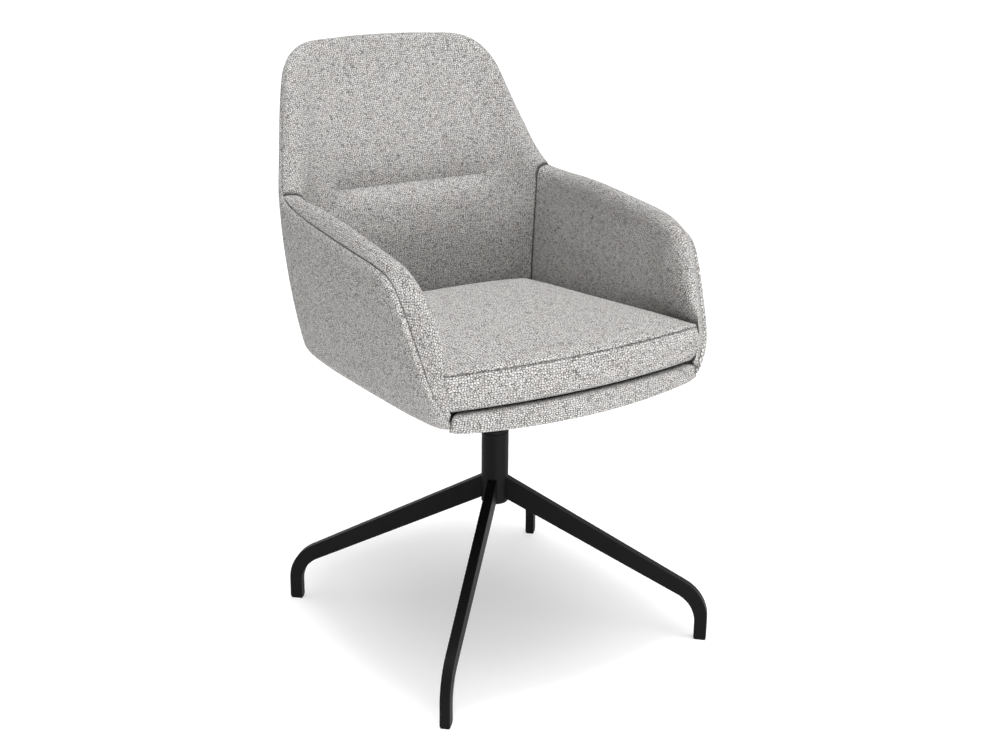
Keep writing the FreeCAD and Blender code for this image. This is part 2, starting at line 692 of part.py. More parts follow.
def bowed_face(front_half, inset, corners, height):
    """Level face with a bowed front; its right-hand corners are mirrored to the left."""
    front = bow(front_half, inset, height)
    points = [front.Vertexes[1].Point]
    points += [Vector(x, y, height) for x, y in corners]
    points += [Vector(-x, y, height) for x, y in reversed(corners)]
    points.append(front.Vertexes[0].Point)
    sides = [line(start, end) for start, end in zip(points, points[1:])]
    return Part.Face(Part.Wire([front] + sides))


def round_rear(prism, rear, radius):
    """Round the upright edges at a prism's rear corners."""
    edges = [edge for edge in prism.Edges if edge.BoundBox.YMin > rear - LAYER_GAP
             and edge.BoundBox.XLength < LAYER_GAP]
    return prism.makeFillet(radius, edges)


def make_seat_board(boards, wood_screws):
    """Plywood board, bow-fronted, its edges cut to the side and back boards."""
    bottom = board_bottom()
    side = plan_x(BOARD_X_SHARE)
    corners = [(side, -plan_y(BOARD_SHOULDER_Y_SHARE)), (side, plan_y(BOARD_REAR_Y_SHARE))]
    face = bowed_face(plan_x(BOARD_FRONT_X_SHARE), RAIL_DEPTH + LAYER_GAP, corners, bottom)
    blank = face.extrude(UP * SEAT_BOARD_THICK)
    blank = largest(blank.cut(boards))
    cutters = rods(NUT_BARREL_RADIUS, bottom - OVERRUN, board_top() + OVERRUN)
    return largest(blank.cut(cutters + wood_screws))


def largest(shape):
    """The largest solid of a cut shape."""
    return max(shape.Solids, key=lambda solid: solid.Volume)


def hit(board, start, way):
    """Where a level line from outside first meets a board."""
    reach = way * (ARM_HALF_WIDTH + SEAT_HALF_DEPTH)
    inside = board.common(line(start, start + reach))
    return min((vertex.Point for vertex in inside.Vertexes), key=lambda point: (point - start).Length)


def wood_screw(outer_point, way, extra):
    """Countersunk screw driven along a level line into the seat board's edge."""
    head_start = outer_point + way * WOOD_SCREW_SINK
    head = Part.makeCylinder(WOOD_SCREW_HEAD_RADIUS + extra, WOOD_SCREW_HEAD_HEIGHT + extra, head_start, way)
    shank = Part.makeCylinder(WOOD_SCREW_RADIUS + extra, WOOD_SCREW_LENGTH + extra, head_start, way)
    screw = head.fuse(shank)
    if extra:
        screw = screw.fuse(Part.makeCylinder(WOOD_SCREW_HEAD_RADIUS + extra, OVERRUN, head_start, way * -1))
    return screw


def wood_screw_set(side_boards, back_board, extra):
    """Screws through the side and back boards into the edge of the seat board."""
    height = board_bottom() + SEAT_BOARD_THICK / 2
    screws = []
    for share in WOOD_SCREW_PLACE_SHARES:
        place = share * SEAT_HALF_DEPTH
        for side, board in zip((1, -1), side_boards):
            start = Vector(side * (ARM_HALF_WIDTH + OVERRUN), place, height)
            way = Vector(-side, 0, 0)
            screws.append(wood_screw(hit(board, start, way), way, extra))
        start = Vector(place, BACK_SHARES[-1][1] * SEAT_HALF_DEPTH + OVERRUN, height)
        way = Vector(0, -1, 0)
        screws.append(wood_screw(hit(back_board, start, way), way, extra))
    return screws


def make_deck():
    """Foam deck on the seat board, sloping down to the rear, with room for the nut flanges."""
    bottom = board_top() + LAYER_GAP / 2
    front = -plan_y(RAIL_CENTRE_Y_SHARE)
    rear = plan_y(DECK_REAR_Y_SHARE)
    profile = Part.makePolygon([
        Vector(0, front, bottom), Vector(0, rear, bottom),
        Vector(0, rear, DECK_REAR_TOP), Vector(0, front, DECK_FRONT_TOP), Vector(0, front, bottom),
    ])
    slab = Part.Face(profile).extrude(Vector(ARM_HALF_WIDTH * 2, 0, 0))
    slab.translate(Vector(-ARM_HALF_WIDTH, 0, 0))
    corners = [(plan_x(DECK_REAR_X_SHARE), rear)]
    face = bowed_face(plan_x(DECK_FRONT_X_SHARE), RAIL_DEPTH + LAYER_GAP, corners, board_bottom())
    prism = round_rear(face.extrude(UP * (DECK_FRONT_TOP - SHELL_BOTTOM)), rear, DECK_CORNER)
    pocket_top = board_top() + NUT_FLANGE_THICK + LAYER_GAP
    pockets = rods(NUT_FLANGE_RADIUS + LAYER_GAP, board_bottom(), pocket_top)
    return slab.common(prism).cut(pockets)


def make_rail(arm_end):
    """Upholstered front rail, bowed like the cushion and mitred to the arms' front ends."""
    half = plan_x(RAIL_CORNER_X_SHARE)
    front = -plan_y(RAIL_CENTRE_Y_SHARE)
    outer = bow(half, 0, RAIL_BOTTOM)
    inner = bow(half, RAIL_DEPTH, RAIL_BOTTOM)
    outline = Part.Wire([
        outer,
        line(outer.Vertexes[1].Point, inner.Vertexes[1].Point),
        inner,
        line(inner.Vertexes[0].Point, outer.Vertexes[0].Point),
    ])
    rail = Part.Face(outline).extrude(UP * (RAIL_TOP - RAIL_BOTTOM))
    under = Part.makeBox(ARM_HALF_WIDTH * 2, SEAT_HALF_DEPTH, OVERRUN,
                         Vector(-ARM_HALF_WIDTH, front - RAIL_DEPTH, RAIL_BOTTOM - OVERRUN))
    under.rotate(Vector(0, front, RAIL_BOTTOM), Vector(1, 0, 0), RAIL_TILT)
    way = arm_end.across()
    mitre = Part.makeCylinder(RAIL_DEPTH * 4, OVERRUN * 2, arm_end.foot - way * LAYER_GAP, way)
    for cutter in (under, mitre, mirrored(mitre)):
        rail = largest(rail.cut(cutter))
    long_edges = [edge for edge in rail.Edges if edge.BoundBox.XLength > half / 2
                  and edge.BoundBox.YMin < front + RAIL_DEPTH / 2]
    return rail.makeFillet(RAIL_ROUND, long_edges)


def make_dust_cover():
    """Thin cloth stapled under the seat board, with a window for the steel plate."""
    bottom = board_bottom() - DUST_COVER_THICK
    half = plan_x(BOARD_FRONT_X_SHARE) - DUST_COVER_INSET
    rear = plan_y(BOARD_REAR_Y_SHARE) - DUST_COVER_INSET * 2
    face = bowed_face(half, RAIL_DEPTH + DUST_COVER_INSET, [(half, rear)], bottom)
    sheet = round_rear(face.extrude(UP * DUST_COVER_THICK), rear, DECK_CORNER * 2)
    window = square_plate(PLATE_SIDE + DUST_COVER_THICK * 2, PLATE_CORNER, bottom - OVERRUN, bottom + OVERRUN)
    return sheet.cut(window)


def cushion_section(front_height, rear_height, inset):
    """Level-ish outline of the cushion: bowed front, drawn-in sides, rounded corners."""
    front_y = inset - plan_y(CUSHION_FRONT_CENTRE_Y_SHARE)
    rear_y = plan_y(CUSHION_REAR_CENTRE_Y_SHARE) - inset

    def place(x, y):
        share = (y - front_y) / (rear_y - front_y)
        return Vector(x, y, front_height + (rear_height - front_height) * share)

    front_half = plan_x(CUSHION_FRONT_X_SHARE) - inset
    rear_half = plan_x(CUSHION_REAR_X_SHARE) - inset
    waist = plan_x(CUSHION_WAIST_X_SHARE) - inset
    front_corner = inset - plan_y(CUSHION_FRONT_CORNER_Y_SHARE)
    rear_corner = plan_y(CUSHION_REAR_CORNER_Y_SHARE) - inset
    tuck = CUSHION_CORNER * (1 - math.cos(math.radians(45)))
    right = [
        place(front_half - CUSHION_CORNER, front_corner),
        place(front_half - tuck, front_corner + tuck),
        place(front_half, front_corner + CUSHION_CORNER),
        place(waist, (front_corner + rear_corner) / 2),
        place(rear_half, rear_corner - CUSHION_CORNER),
        place(rear_half - tuck, rear_corner - tuck),
        place(rear_half - CUSHION_CORNER, rear_corner),
    ]
    left = [flip(point) for point in reversed(right)]
    front = place(0, front_y)
    rear = place(0, rear_y)
    loop = right + [rear] + left + [front, right[0]]
    return Part.Wire([arc(*loop[index:index + 3]) for index in range(0, len(loop) - 1, 2)])


def make_cushion(extra):
    """Loose seat cushion: swelling border up to the seam, then the crowned top."""
    front_foot = DECK_FRONT_TOP + SEAT_GAP
    rear_foot = DECK_REAR_TOP + SEAT_GAP
    border = []
    for share, inset_share, swell_share in BORDER_SHARES:
        inset = inset_share * CUSHION_FOOT_INSET - swell_share * CUSHION_SWELL - extra
        front = front_foot + (CUSHION_FRONT_SEAM - front_foot) * share
        rear = rear_foot + (CUSHION_REAR_SEAM - rear_foot) * share
        border.append(cushion_section(front, rear, inset))
    crown = []
    for share, reach_share in CROWN_SHARES:
        rise = share * (CUSHION_CROWN + extra)
        crown.append(cushion_section(CUSHION_FRONT_SEAM + rise, CUSHION_REAR_SEAM + rise,
                                     reach_share * CUSHION_CROWN_REACH - extra))
    return loft(border).fuse(loft(crown))


def make_seat():
    """Everything of the seat between the plate and the sitter, and the wall round it."""
    sides = arm_ribs()
    back = half_back_ribs()
    cover = make_cover(sides, back)
    side_board, back_board = make_boards(sides, back)
    side_boards = (side_board, mirrored(side_board))
    screws = wood_screw_set(side_boards, back_board, 0)
    holes = wood_screw_set(side_boards, back_board, WOOD_SCREW_CLEARANCE)
    arm_pad = make_arm_pad(sides).cut(make_cushion(SEAT_GAP))
    arm_pads = (arm_pad, mirrored(arm_pad))
    export("outer_cover", cover)
    export("side_board_right", side_boards[0].cut(holes))
    export("side_board_left", side_boards[1].cut(holes))
    export("back_board", back_board.cut(holes))
    export("board_screws", Part.makeCompound(screws))
    export("seat_board", make_seat_board([*side_boards, back_board], holes))
    export("seat_deck", make_deck())
    export("front_rail", make_rail(sides[0]))
    export("dust_cover", make_dust_cover())
    export("arm_pad_right", arm_pads[0])
    export("arm_pad_left", arm_pads[1])
    export("back_pad", make_back_pad(back))
    export("seat_cushion", make_cushion(0))


def main():
    make_base()
    make_column()
    make_bearing()
    make_spindle()
    make_mounting()
    make_seat()


main()
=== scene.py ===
import math

import bmesh
import bpy
import numpy as np
from mathutils import Matrix
from mathutils.kdtree import KDTree


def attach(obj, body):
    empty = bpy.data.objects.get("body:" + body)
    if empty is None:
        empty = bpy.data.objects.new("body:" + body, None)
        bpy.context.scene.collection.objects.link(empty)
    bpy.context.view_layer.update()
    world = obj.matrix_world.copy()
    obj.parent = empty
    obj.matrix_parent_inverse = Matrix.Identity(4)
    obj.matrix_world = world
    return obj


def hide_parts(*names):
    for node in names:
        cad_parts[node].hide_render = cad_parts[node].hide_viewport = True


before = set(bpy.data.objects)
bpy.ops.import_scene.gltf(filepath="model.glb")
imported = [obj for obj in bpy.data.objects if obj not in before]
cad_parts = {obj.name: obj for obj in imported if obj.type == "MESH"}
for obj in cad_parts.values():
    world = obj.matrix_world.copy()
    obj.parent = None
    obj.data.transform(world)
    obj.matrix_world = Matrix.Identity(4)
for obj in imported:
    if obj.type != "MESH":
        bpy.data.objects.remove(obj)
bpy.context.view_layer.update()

# Metres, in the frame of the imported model: +Z up, the sitter faces -Y, the column stands on the origin.

# Camera at the photograph's place
CAMERA_PLACE = (-1.1792, -1.7761, 1.1385)
CAMERA_HEADING = 33.76
CAMERA_PITCH = 18.85
CAMERA_ROLL = 0.53
CAMERA_LENS = 53.27
CAMERA_SENSOR = 36.0

# Upholstered wall: scale lengths of the tables
SHELL_BOTTOM = 0.425
ARM_HALF_WIDTH = 0.256
SEAT_HALF_DEPTH = 0.214
ARM_RISE = 0.251
BACK_RISE = 0.198
COVER_THICK = 0.004
WALL_BELLY = 0.012
ARM_PAD_THICK = 0.026
BACK_EDGE_THICK = 0.030
ARM_CROWN = 0.0242
BACK_CROWN = 0.0148
PAD_INNER_BOTTOM = 0.452
PAD_BACK_DEPTH = 0.0115
PAD_BACK_BOTTOM = 0.443
PLEAT_HEIGHT = 0.668
LUMBAR_HEIGHT = 0.560

# Arm stations from the nose to the backrest: foot x, foot y, rim x, rim y, rim z, facing, belly
ARM_WALL = (
    (0.80, -0.95, 0.835, -1.00, 0.07, -40, 0.05),
    (0.82, -0.92, 0.907, -0.955, 0.215, -25, 0.25),
    (0.83, -0.87, 0.945, -0.87, 0.40, -15, 0.6),
    (0.835, -0.78, 0.975, -0.757, 0.62, -8, 0.8),
    (0.835, -0.69, 0.995, -0.65, 0.77, -4, 0.9),
    (0.835, -0.56, 1.00, -0.52, 0.825, 0, 0.95),
    (0.835, -0.30, 0.995, -0.28, 0.85, 0, 0.95),
    (0.835, 0.12, 0.977, 0.12, 0.872, 0, 0.95),
    (0.835, 0.48, 0.967, 0.48, 0.901, 2, 0.9),
    (0.83, 0.73, 0.957, 0.75, 0.93, 6, 0.8),
    (0.81, 0.935, 0.949, 0.99, 1.00, 18, 0.75),
)
# Arm pad at the same stations: thickness, crown, inner foot x and y, back depth, lean of its outer side
ARM_PAD = (
    (0.45, 0.45, 0.80, -0.95, 0.3, 0.5),
    (0.9, 0.95, 0.82, -0.955, 0.5, 1.0),
    (1.3, 1.7, 0.812, -0.92, 1.0, 1.0),
    (1.42, 1.55, 0.809, -0.84, 1.0, 1.0),
    (1.36, 1.1, 0.808, -0.71, 1.0, 0.9),
    (1.22, 0.85, 0.806, -0.54, 1.0, 0.4),
    (1.1, 0.92, 0.804, -0.28, 1.0, 0.0),
    (1.0, 1.19, 0.797, 0.12, 1.0, 0.0),
    (0.97, 1.14, 0.79, 0.48, 1.0, 0.0),
    (1.0, 0.86, 0.78, 0.75, 1.0, 0.0),
    (1.15, 0.1, 0.77, 0.955, 1.0, 0.0),
)
# How far the outer panel stands proud of the wall at the same stations and round the back, in millimetres
COVER_SWELL = (3.4, 4.8, 5.8, 6.4, 6.7, 6.8, 5.4, 4.4, 4.2, 4.4, 5)
COVER_BACK_SWELL = (5.2, 6.0, 5.8, 6.3, 7, 7.5, 6, 5, 4, 4)
# Height over which its rim is rounded and how far its foot hangs below the wall, in millimetres
COVER_REACH = (6, 8, 8, 8, 9, 11, 14, 18, 20, 20, 20)
COVER_BACK_REACH = (20, 18, 14, 10, 8, 8, 8, 10, 12, 12)
COVER_DROP = (-5.5, -3.5, -1.4, 0.5, 2, 4, 6, 6.2, 5, 2.5, -1)
COVER_BACK_DROP = (-1, -0.5, 0, 0, 0, 0, 0, 0, 0, 0)
COVER_FOOT_SWELL = 3
COVER_FOOT_REACH = 0.09
COVER_ROLL_HEIGHT = 0.018
COVER_ROLL_DEPTH = 0.004
# Fine band of rows below its rim, the height that the band needs, and where its hidden back starts
COVER_BAND = (0.03, 0.0105)
COVER_BAND_ROOM = 0.032
COVER_BACK_TOP = 0.975
# Rows of the roll, the face, the band and the hidden back
COVER_ROWS = (12, 60, 10, 16)
# Backrest stations from the arm seam to the middle: foot x, foot y, rim x, rim y, rim z, facing,
# rim facing, belly
BACK_WALL = (
    (0.81, 0.935, 0.949, 0.99, 0.0, 18, 18, 0.75),
    (0.766, 1.01, 0.903, 1.11, 0.156, 30, 40, 0.7),
    (0.703, 1.065, 0.857, 1.205, 0.354, 42, 52, 0.85),
    (0.625, 1.093, 0.793, 1.335, 0.61, 55, 62, 0.95),
    (0.54, 1.103, 0.732, 1.44, 0.822, 66, 70, 1.0),
    (0.49, 1.106, 0.681, 1.507, 0.912, 70, 73, 1.0),
    (0.44, 1.108, 0.595, 1.575, 0.968, 74, 77, 1.0),
    (0.33, 1.112, 0.44, 1.63, 0.99, 80, 83, 1.0),
    (0.17, 1.118, 0.23, 1.665, 1.0, 85, 87, 1.0),
    (0.0, 1.121, 0.0, 1.675, 1.005, 90, 90, 1.0),
)
# Back pad at the same stations: crown, inner foot x and y, lumbar x and y, pleat x and y, pleat drop,
# edge thickness
BACK_PAD = (
    (0.2, 0.77, 0.955, 0.797, 0.949, 0.822, 0.91, 0.16, 1.0),
    (0.25, 0.758, 0.975, 0.777, 0.972, 0.805, 0.963, 0.08, 0.97),
    (0.25, 0.703, 1.005, 0.719, 1.0, 0.75, 1.037, 0.03, 0.93),
    (0.4, 0.617, 1.02, 0.637, 1.014, 0.672, 1.089, 0.0, 0.85),
    (0.75, 0.531, 1.025, 0.547, 1.023, 0.594, 1.112, 0.0, 0.72),
    (1.0, 0.488, 1.028, 0.50, 1.028, 0.547, 1.121, 0.0, 0.68),
    (1.25, 0.437, 1.03, 0.449, 1.033, 0.477, 1.13, 0.0, 0.75),
    (1.3, 0.336, 1.03, 0.344, 1.037, 0.352, 1.14, 0.0, 0.88),
    (1.3, 0.168, 1.03, 0.172, 1.037, 0.176, 1.145, 0.0, 0.97),
    (1.3, 0.0, 1.03, 0.0, 1.037, 0.0, 1.145, 0.0, 1.0),
)
# Points over a pad's edge: share of its thickness inward, share of its crown up, share of its thickness down
ARM_CROWN_POINTS = ((0.11, 0.6, 0.0), (0.47, 1.0, 0.0), (0.86, 0.66, 0.0), (1.0, 0.1, 0.0))
ARM_LEAN = ((0.14, -0.28), (0.08, -0.3), (0.0, -0.06), (0.05, -0.2))
BACK_CROWN_POINTS = ((0.12, 0.7, 0.0), (0.45, 1.15, 0.0), (0.8, 0.75, 0.12), (1.0, 0.2, 0.4))
ARM_ROWS = 70
BACK_ROWS = 110
ARM_SMOOTHING = 14
BACK_SMOOTHING = 20
PAD_HELD = 0.004
PAD_HELD_REACH = 0.010
CUSHION_GAP = 0.0022
CUSHION_BLEND = 0.004
CUSHION_CLEAR_FADE = 0.6
PAD_SWELL = 0.1
PAD_BACK_ROWS = 14
PAD_BACK_TOP = 0.95
PAD_BACK_GAP = 0.0007

# Seams
SEAM_DEPTH = 0.0015
SEAM_WIDTH = 0.0014
SEAM_LINE_WIDTH = 0.0011
SEAM_ROWS = (0.0, 0.0005, 0.001, 0.0016, 0.0024, 0.0034, 0.0048, 0.0066, 0.009)
GRID_STEP = 0.0045
JOINT_REACH = 0.045
WELD = 0.00005

# Pleat across the backrest, with painted shade along its crease
PLEAT_MARK = 6
PLEAT_HALF = 0.133
PLEAT_FADE = 0.022
PLEAT_FINE = 0.0075
PLEAT_ROWS = 16
PLEAT_DEPTH = 0.015
PLEAT_TIP = 0.0012
PLEAT_REACH_UP = 0.017
PLEAT_REACH_DOWN = 0.011
# Strength of the painted shade along the pleat's crease
PLEAT_PAINTED_SHADE = 0.4
LUMBAR_SWELL = 0.004
LUMBAR_PLACE = 0.030
LUMBAR_REACH = 0.025
LUMBAR_FADE = 0.04

# Seat cushion, its seam and foot at the front and the rear
CUSHION_SEAM = (0.510, 0.490)
CUSHION_FOOT = (0.4543, 0.4473)
CUSHION_CROWN = 0.014
CUSHION_REACH = 0.110
CUSHION_FRONT_X = 0.8555
CUSHION_WAIST_X = 0.793
CUSHION_REAR_X = 0.75
CUSHION_FRONT_CENTRE_Y = 1.084
CUSHION_FRONT_CORNER_Y = 0.986
CUSHION_REAR_CENTRE_Y = 0.995
CUSHION_REAR_CORNER_Y = 0.949
CUSHION_CORNER = 0.012
CUSHION_ARC_STEPS = 60
CUSHION_GRID = (104, 100)
BORDER_HEIGHT = 0.05
EDGE_SHARES = (0.0, 0.0012, 0.0025, 0.004, 0.0062, 0.0095, 0.0145, 0.021)
CROWN_PROFILE = ((0.0, 0.0), (0.08, 0.34), (0.28, 0.66), (0.62, 0.9), (1.0, 1.0))
BORDER_PROFILE = ((0.0, 7.0), (0.05, 3.0), (0.12, 0.8), (0.4, -2.7), (0.7, -3.0), (1.0, 0.0))

# Front rail
RAIL_HALF = 0.844
RAIL_CORNER_Y = 0.995
RAIL_CENTRE_Y = 1.1075
RAIL_DEPTH = 0.016
RAIL_TOP = 0.451
RAIL_BOTTOM = 0.4168
RAIL_TILT = 17.0
RAIL_ROUND = 0.006
RAIL_GAP = 0.0007
RAIL_END_LIFT = 0.004
RAIL_END_REACH = 0.022
RAIL_END_SEARCH = (0.1, 0.25)
RAIL_LIFT_TOP = 0.439
RAIL_BACK_GAP = 0.0005
RAIL_COLUMNS = 110

# Deck under the cushion and lining under the seat
DECK_BOTTOM = 0.4447
DECK_TOPS = (0.4539, 0.4469)
DECK_FRONT_X = 0.781
DECK_REAR_X = 0.75
DECK_REAR_Y = 1.01
DECK_INSET = 0.0172
DECK_CORNER = 0.025
DECK_EDGE = ((0.9935, 0.94), (0.997, 0.84), (0.999, 0.7), (1.0, 0.5))
DECK_COLUMNS = 240
LINING_X = 0.7348
LINING_REAR_Y = 1.0187
LINING_INSET = 0.025
LINING_CORNER = 0.05
LINING_TOP = 0.4302
LINING_THICK = 0.0009
LINING_RIPPLE = 0.0004
LINING_RIPPLE_PITCH = 0.047
LINING_COLUMNS = 320
LINING_ROWS = 24
WINDOW_HALF = 0.096
WINDOW_CORNER = 0.018

# Cloth simulation
SIM_VOXEL = 0.006
SIM_PRESSURE = 4.0
SIM_FRAMES = 20
SIM_SEAM_REACH = 0.02
SIM_FOOT_HELD = 0.004
SIM_FOOT_REACH = 0.02
SIM_NEAR = 0.0005
CUSHION_CAP = 0.005

# Fabrics: turn of the weave in degrees and size of its stitches
FABRICS = (("tweed", 0, 1.0), ("tweed_seat", 0, 1.15), ("tweed_slanted", 40, 1.22))
STITCH_SIZE = (0.0037, 0.0031, 1.0)
STITCH_RANDOM = 0.8
GAP_PALE = ((0.0, 0.34), (0.12, 0.72), (0.24, 1.0))
GAP_DARK = ((0.0, 0.04), (0.14, 0.34), (0.3, 1.0))
SPECK_SCALE = 430.0
SPECK_SHARE = ((0.48, 0.0), (0.58, 1.0))
COURSE_SCALE = 50.0
COURSE_TONES = ((0.0, 0.93), (0.6, 1.0))
STITCH_TONES = ((0.0, 0.32), (0.06, 0.46), (0.2, 0.56), (0.9, 0.63), (1.0, 0.66))
FABRIC_SHEEN = 0.05
FIBRE_SCALE = 480.0
FIBRE_TONES = ((0.3, 0.7), (0.5, 1.0), (0.7, 1.2))
PATCH_SCALE = 45.0
PATCH_TONES = ((0.35, (1.0, 0.992, 0.975)), (0.7, (1.0, 0.965, 0.935)))
SEAM_DARK = 0.95
SEAM_TONE = 0.04
STITCH_ROUND = 0.25
STITCH_HEIGHT = 3.0
FIBRE_HEIGHT = 0.4
FABRIC_RELIEF = (0.7, 0.0014)

# Grain of the plywood
PLYWOOD_TONES = ((0.3, (0.42, 0.27, 0.15)), (0.7, (0.62, 0.45, 0.28)))
UNFOLD_TURNS = 6

# Studio
FLOOR_HALF = 40.0
FLOOR_SEEN = 0.6
FLOOR_BOUNCE = 0.9
FLOOR_GLOW = 0.5
FLOOR_FILL = 0.33
DOME_GLOW = ((0.0, 0.78), (0.15, 0.53), (0.3, 0.05), (0.86, 0.1), (0.93, 1.6), (0.98, 5.8), (1.0, 5.8))
TOP_LAMP_STRENGTH = 1.15
TOP_LAMP_SPREAD = 8.0
# Softboxes: name, place, size, power and tilt up from straight down
SOFTBOXES = (
    ("key_light", (0.0, -1.25, 2.75), (2.4, 1.6), 34.0, 30.0),
    ("front_light", (0.1, -2.4, 0.12), (2.2, 0.2), 27.0, 90.0),
)


def rows(array):
    return np.array(array, float)


def spline(knots, values, at):
    """Natural cubic spline through values at rising knots, read at other places."""
    knots = rows(knots)
    values = rows(values)
    at = rows(at)
    count = len(knots)
    steps = np.diff(knots)
    system = np.zeros((count, count))
    load = np.zeros(values.shape)
    system[0, 0] = 1
    system[-1, -1] = 1
    for i in range(1, count - 1):
        system[i, i - 1:i + 2] = steps[i - 1], 2 * (steps[i - 1] + steps[i]), steps[i]
        load[i] = 6 * ((values[i + 1] - values[i]) / steps[i] - (values[i] - values[i - 1]) / steps[i - 1])
    bend = np.linalg.solve(system, load.reshape(count, -1)).reshape(values.shape)
    place = np.clip(np.searchsorted(knots, at, side="right") - 1, 0, count - 2)
    shape = (len(at),) + (1,) * (values.ndim - 1)
    step = steps[place].reshape(shape)
    right = (at - knots[place]).reshape(shape)
    left = step - right
    low = values[place]
    high = values[place + 1]
    return ((bend[place] * left ** 3 + bend[place + 1] * right ** 3) / (6 * step)
            + (low / step - bend[place] * step / 6) * left
            + (high / step - bend[place + 1] * step / 6) * right)


def level(angles):
    """Level unit vectors at angles in degrees."""
    turn = np.radians(angles)
    return np.stack([np.cos(turn), np.sin(turn), np.zeros_like(turn)], axis=-1)


def unit(vectors):
    return vectors / np.linalg.norm(vectors, axis=-1, keepdims=True)


def line_run(line):
    """Distance run along a line of points."""
    return np.concatenate([[0], np.cumsum(np.linalg.norm(np.diff(line, axis=0), axis=1))])


class Wall:
    """Ribs of the upholstered wall: foot and rim, which way they face, and their belly."""

    def __init__(self, table):
        self.table = table
        self.foot = np.column_stack([table[:, :2], np.full(len(table), SHELL_BOTTOM)])
        self.rim = table[:, 2:5]
        self.facing, self.rim_facing, self.belly = table[:, 5:8].T

    def outward(self, share):
        """Level unit vectors out of the wall at shares of the way up."""
        turn = self.facing[:, None] + (self.rim_facing - self.facing)[:, None] * np.maximum(0, 2 * share - 1)
        return level(turn)

    def at(self, share, depth):
        """Points at shares of the way up, which may be below the foot, and depths inside the outer face."""
        share = np.broadcast_to(share, (len(self.foot), np.shape(share)[-1]))
        depth = np.broadcast_to(depth, share.shape)[..., None]
        chord = self.foot[:, None] + (self.rim - self.foot)[:, None] * share[..., None]
        swell = (4 * share * (1 - share) * self.belly[:, None])[..., None]
        return chord + self.outward(share * 0) * swell - self.outward(share) * depth

    def heights(self):
        return np.linalg.norm(self.rim - self.foot, axis=1)

    def across(self, place):
        """Unit vector square to one rib's own plane."""
        return unit(np.cross(self.rim[place] - self.foot[place], level(self.facing[place])))

    def part(self, first, last):
        """The ribs from one place to another, both included."""
        return Wall(self.table[first:last + 1])


def wall_rows():
    """Foot xy, rim xyz, facing, rim facing and belly from the right arm's nose to the left arm's."""
    half = []
    for fx, fy, rx, ry, rz, facing, belly in ARM_WALL:
        half.append((fx, fy, rx, ry, SHELL_BOTTOM + rz * ARM_RISE, facing, facing, belly))
    for fx, fy, rx, ry, rz, facing, rim_facing, belly in BACK_WALL[1:]:
        height = SHELL_BOTTOM + ARM_RISE + rz * BACK_RISE
        half.append((fx, fy, rx, ry, height, facing, rim_facing, belly))
    half = rows(half)
    half[:, (0, 2)] *= ARM_HALF_WIDTH
    half[:, (1, 3)] *= SEAT_HALF_DEPTH
    half[:, 7] *= WALL_BELLY
    other = half[-2::-1].copy()
    other[:, (0, 2)] *= -1
    other[:, (5, 6)] = 180 - other[:, (5, 6)]
    return np.concatenate([half, other])


def make_wall():
    """Dense ribs all round, the stations' own ribs and knots, and the places of the arm seams."""
    table = wall_rows()
    knots = line_run(np.column_stack([(table[:, :2] + table[:, 2:4]) / 2, table[:, 4] / 2]))
    ends = (0, len(ARM_WALL) - 1, len(table) - len(ARM_WALL), len(table) - 1)
    at = [rows([0.0])]
    marks = [0]
    heights = [table[:1, 4]]
    for start, stop in zip(ends, ends[1:]):
        count = max(2, round((knots[stop] - knots[start]) / GRID_STEP))
        part = np.linspace(knots[start], knots[stop], count + 1)[1:]
        at.append(part)
        marks.append(marks[-1] + count)
        heights.append(spline(knots[start:stop + 1], table[start:stop + 1, 4], part))
    at = np.concatenate(at)
    dense = spline(knots, table, at)
    dense[:, 4] = np.concatenate(heights)
    return Wall(dense), Wall(table), knots, at, marks


def along(points):
    """Distance run along the second axis of a grid, from its first column."""
    steps = np.linalg.norm(np.diff(points, axis=1), axis=2)
    return np.concatenate([np.zeros((len(points), 1)), np.cumsum(steps, axis=1)], axis=1)


def grid_normals(points):
    """Unit normals of a grid of points."""
    return unit(np.cross(np.gradient(points, axis=0), np.gradient(points, axis=1)))


def row_run(points, start):
    """Distance run along the first axis of a grid, from a row."""
    steps = np.linalg.norm(np.diff(points, axis=0), axis=2)
    run = np.concatenate([np.zeros((1, points.shape[1])), np.cumsum(steps, axis=0)])
    return run - run[start]


def smooth_step(value):
    value = np.clip(value, 0, 1)
    return value * value * (3 - 2 * value)


def meet(first, second):
    """Middle of two section lines that start and end alike, as a function of the share of the way along."""
    shares = [along(line[None])[0] for line in (first, second)]
    shares = [run / run[-1] for run in shares]

    def at(share):
        reads = [np.stack([np.interp(share, run, line[:, k]) for k in range(3)], axis=1)
                 for run, line in zip(shares, (first, second))]
        return (reads[0] + reads[1]) / 2

    return at


def pull_end(points, place, target, reach):
    """Move one end row of a grid onto a target line and let the change fade over a reach."""
    run = along(points[place][None])[0]
    change = target(run / run[-1]) - points[place]
    fade = 1 - smooth_step(np.abs(row_run(points, place % len(points))).mean(axis=1) / reach)
    return points + change[None] * fade[:, None, None]


def bell(distance, width):
    return np.exp(-(distance / width) ** 2)


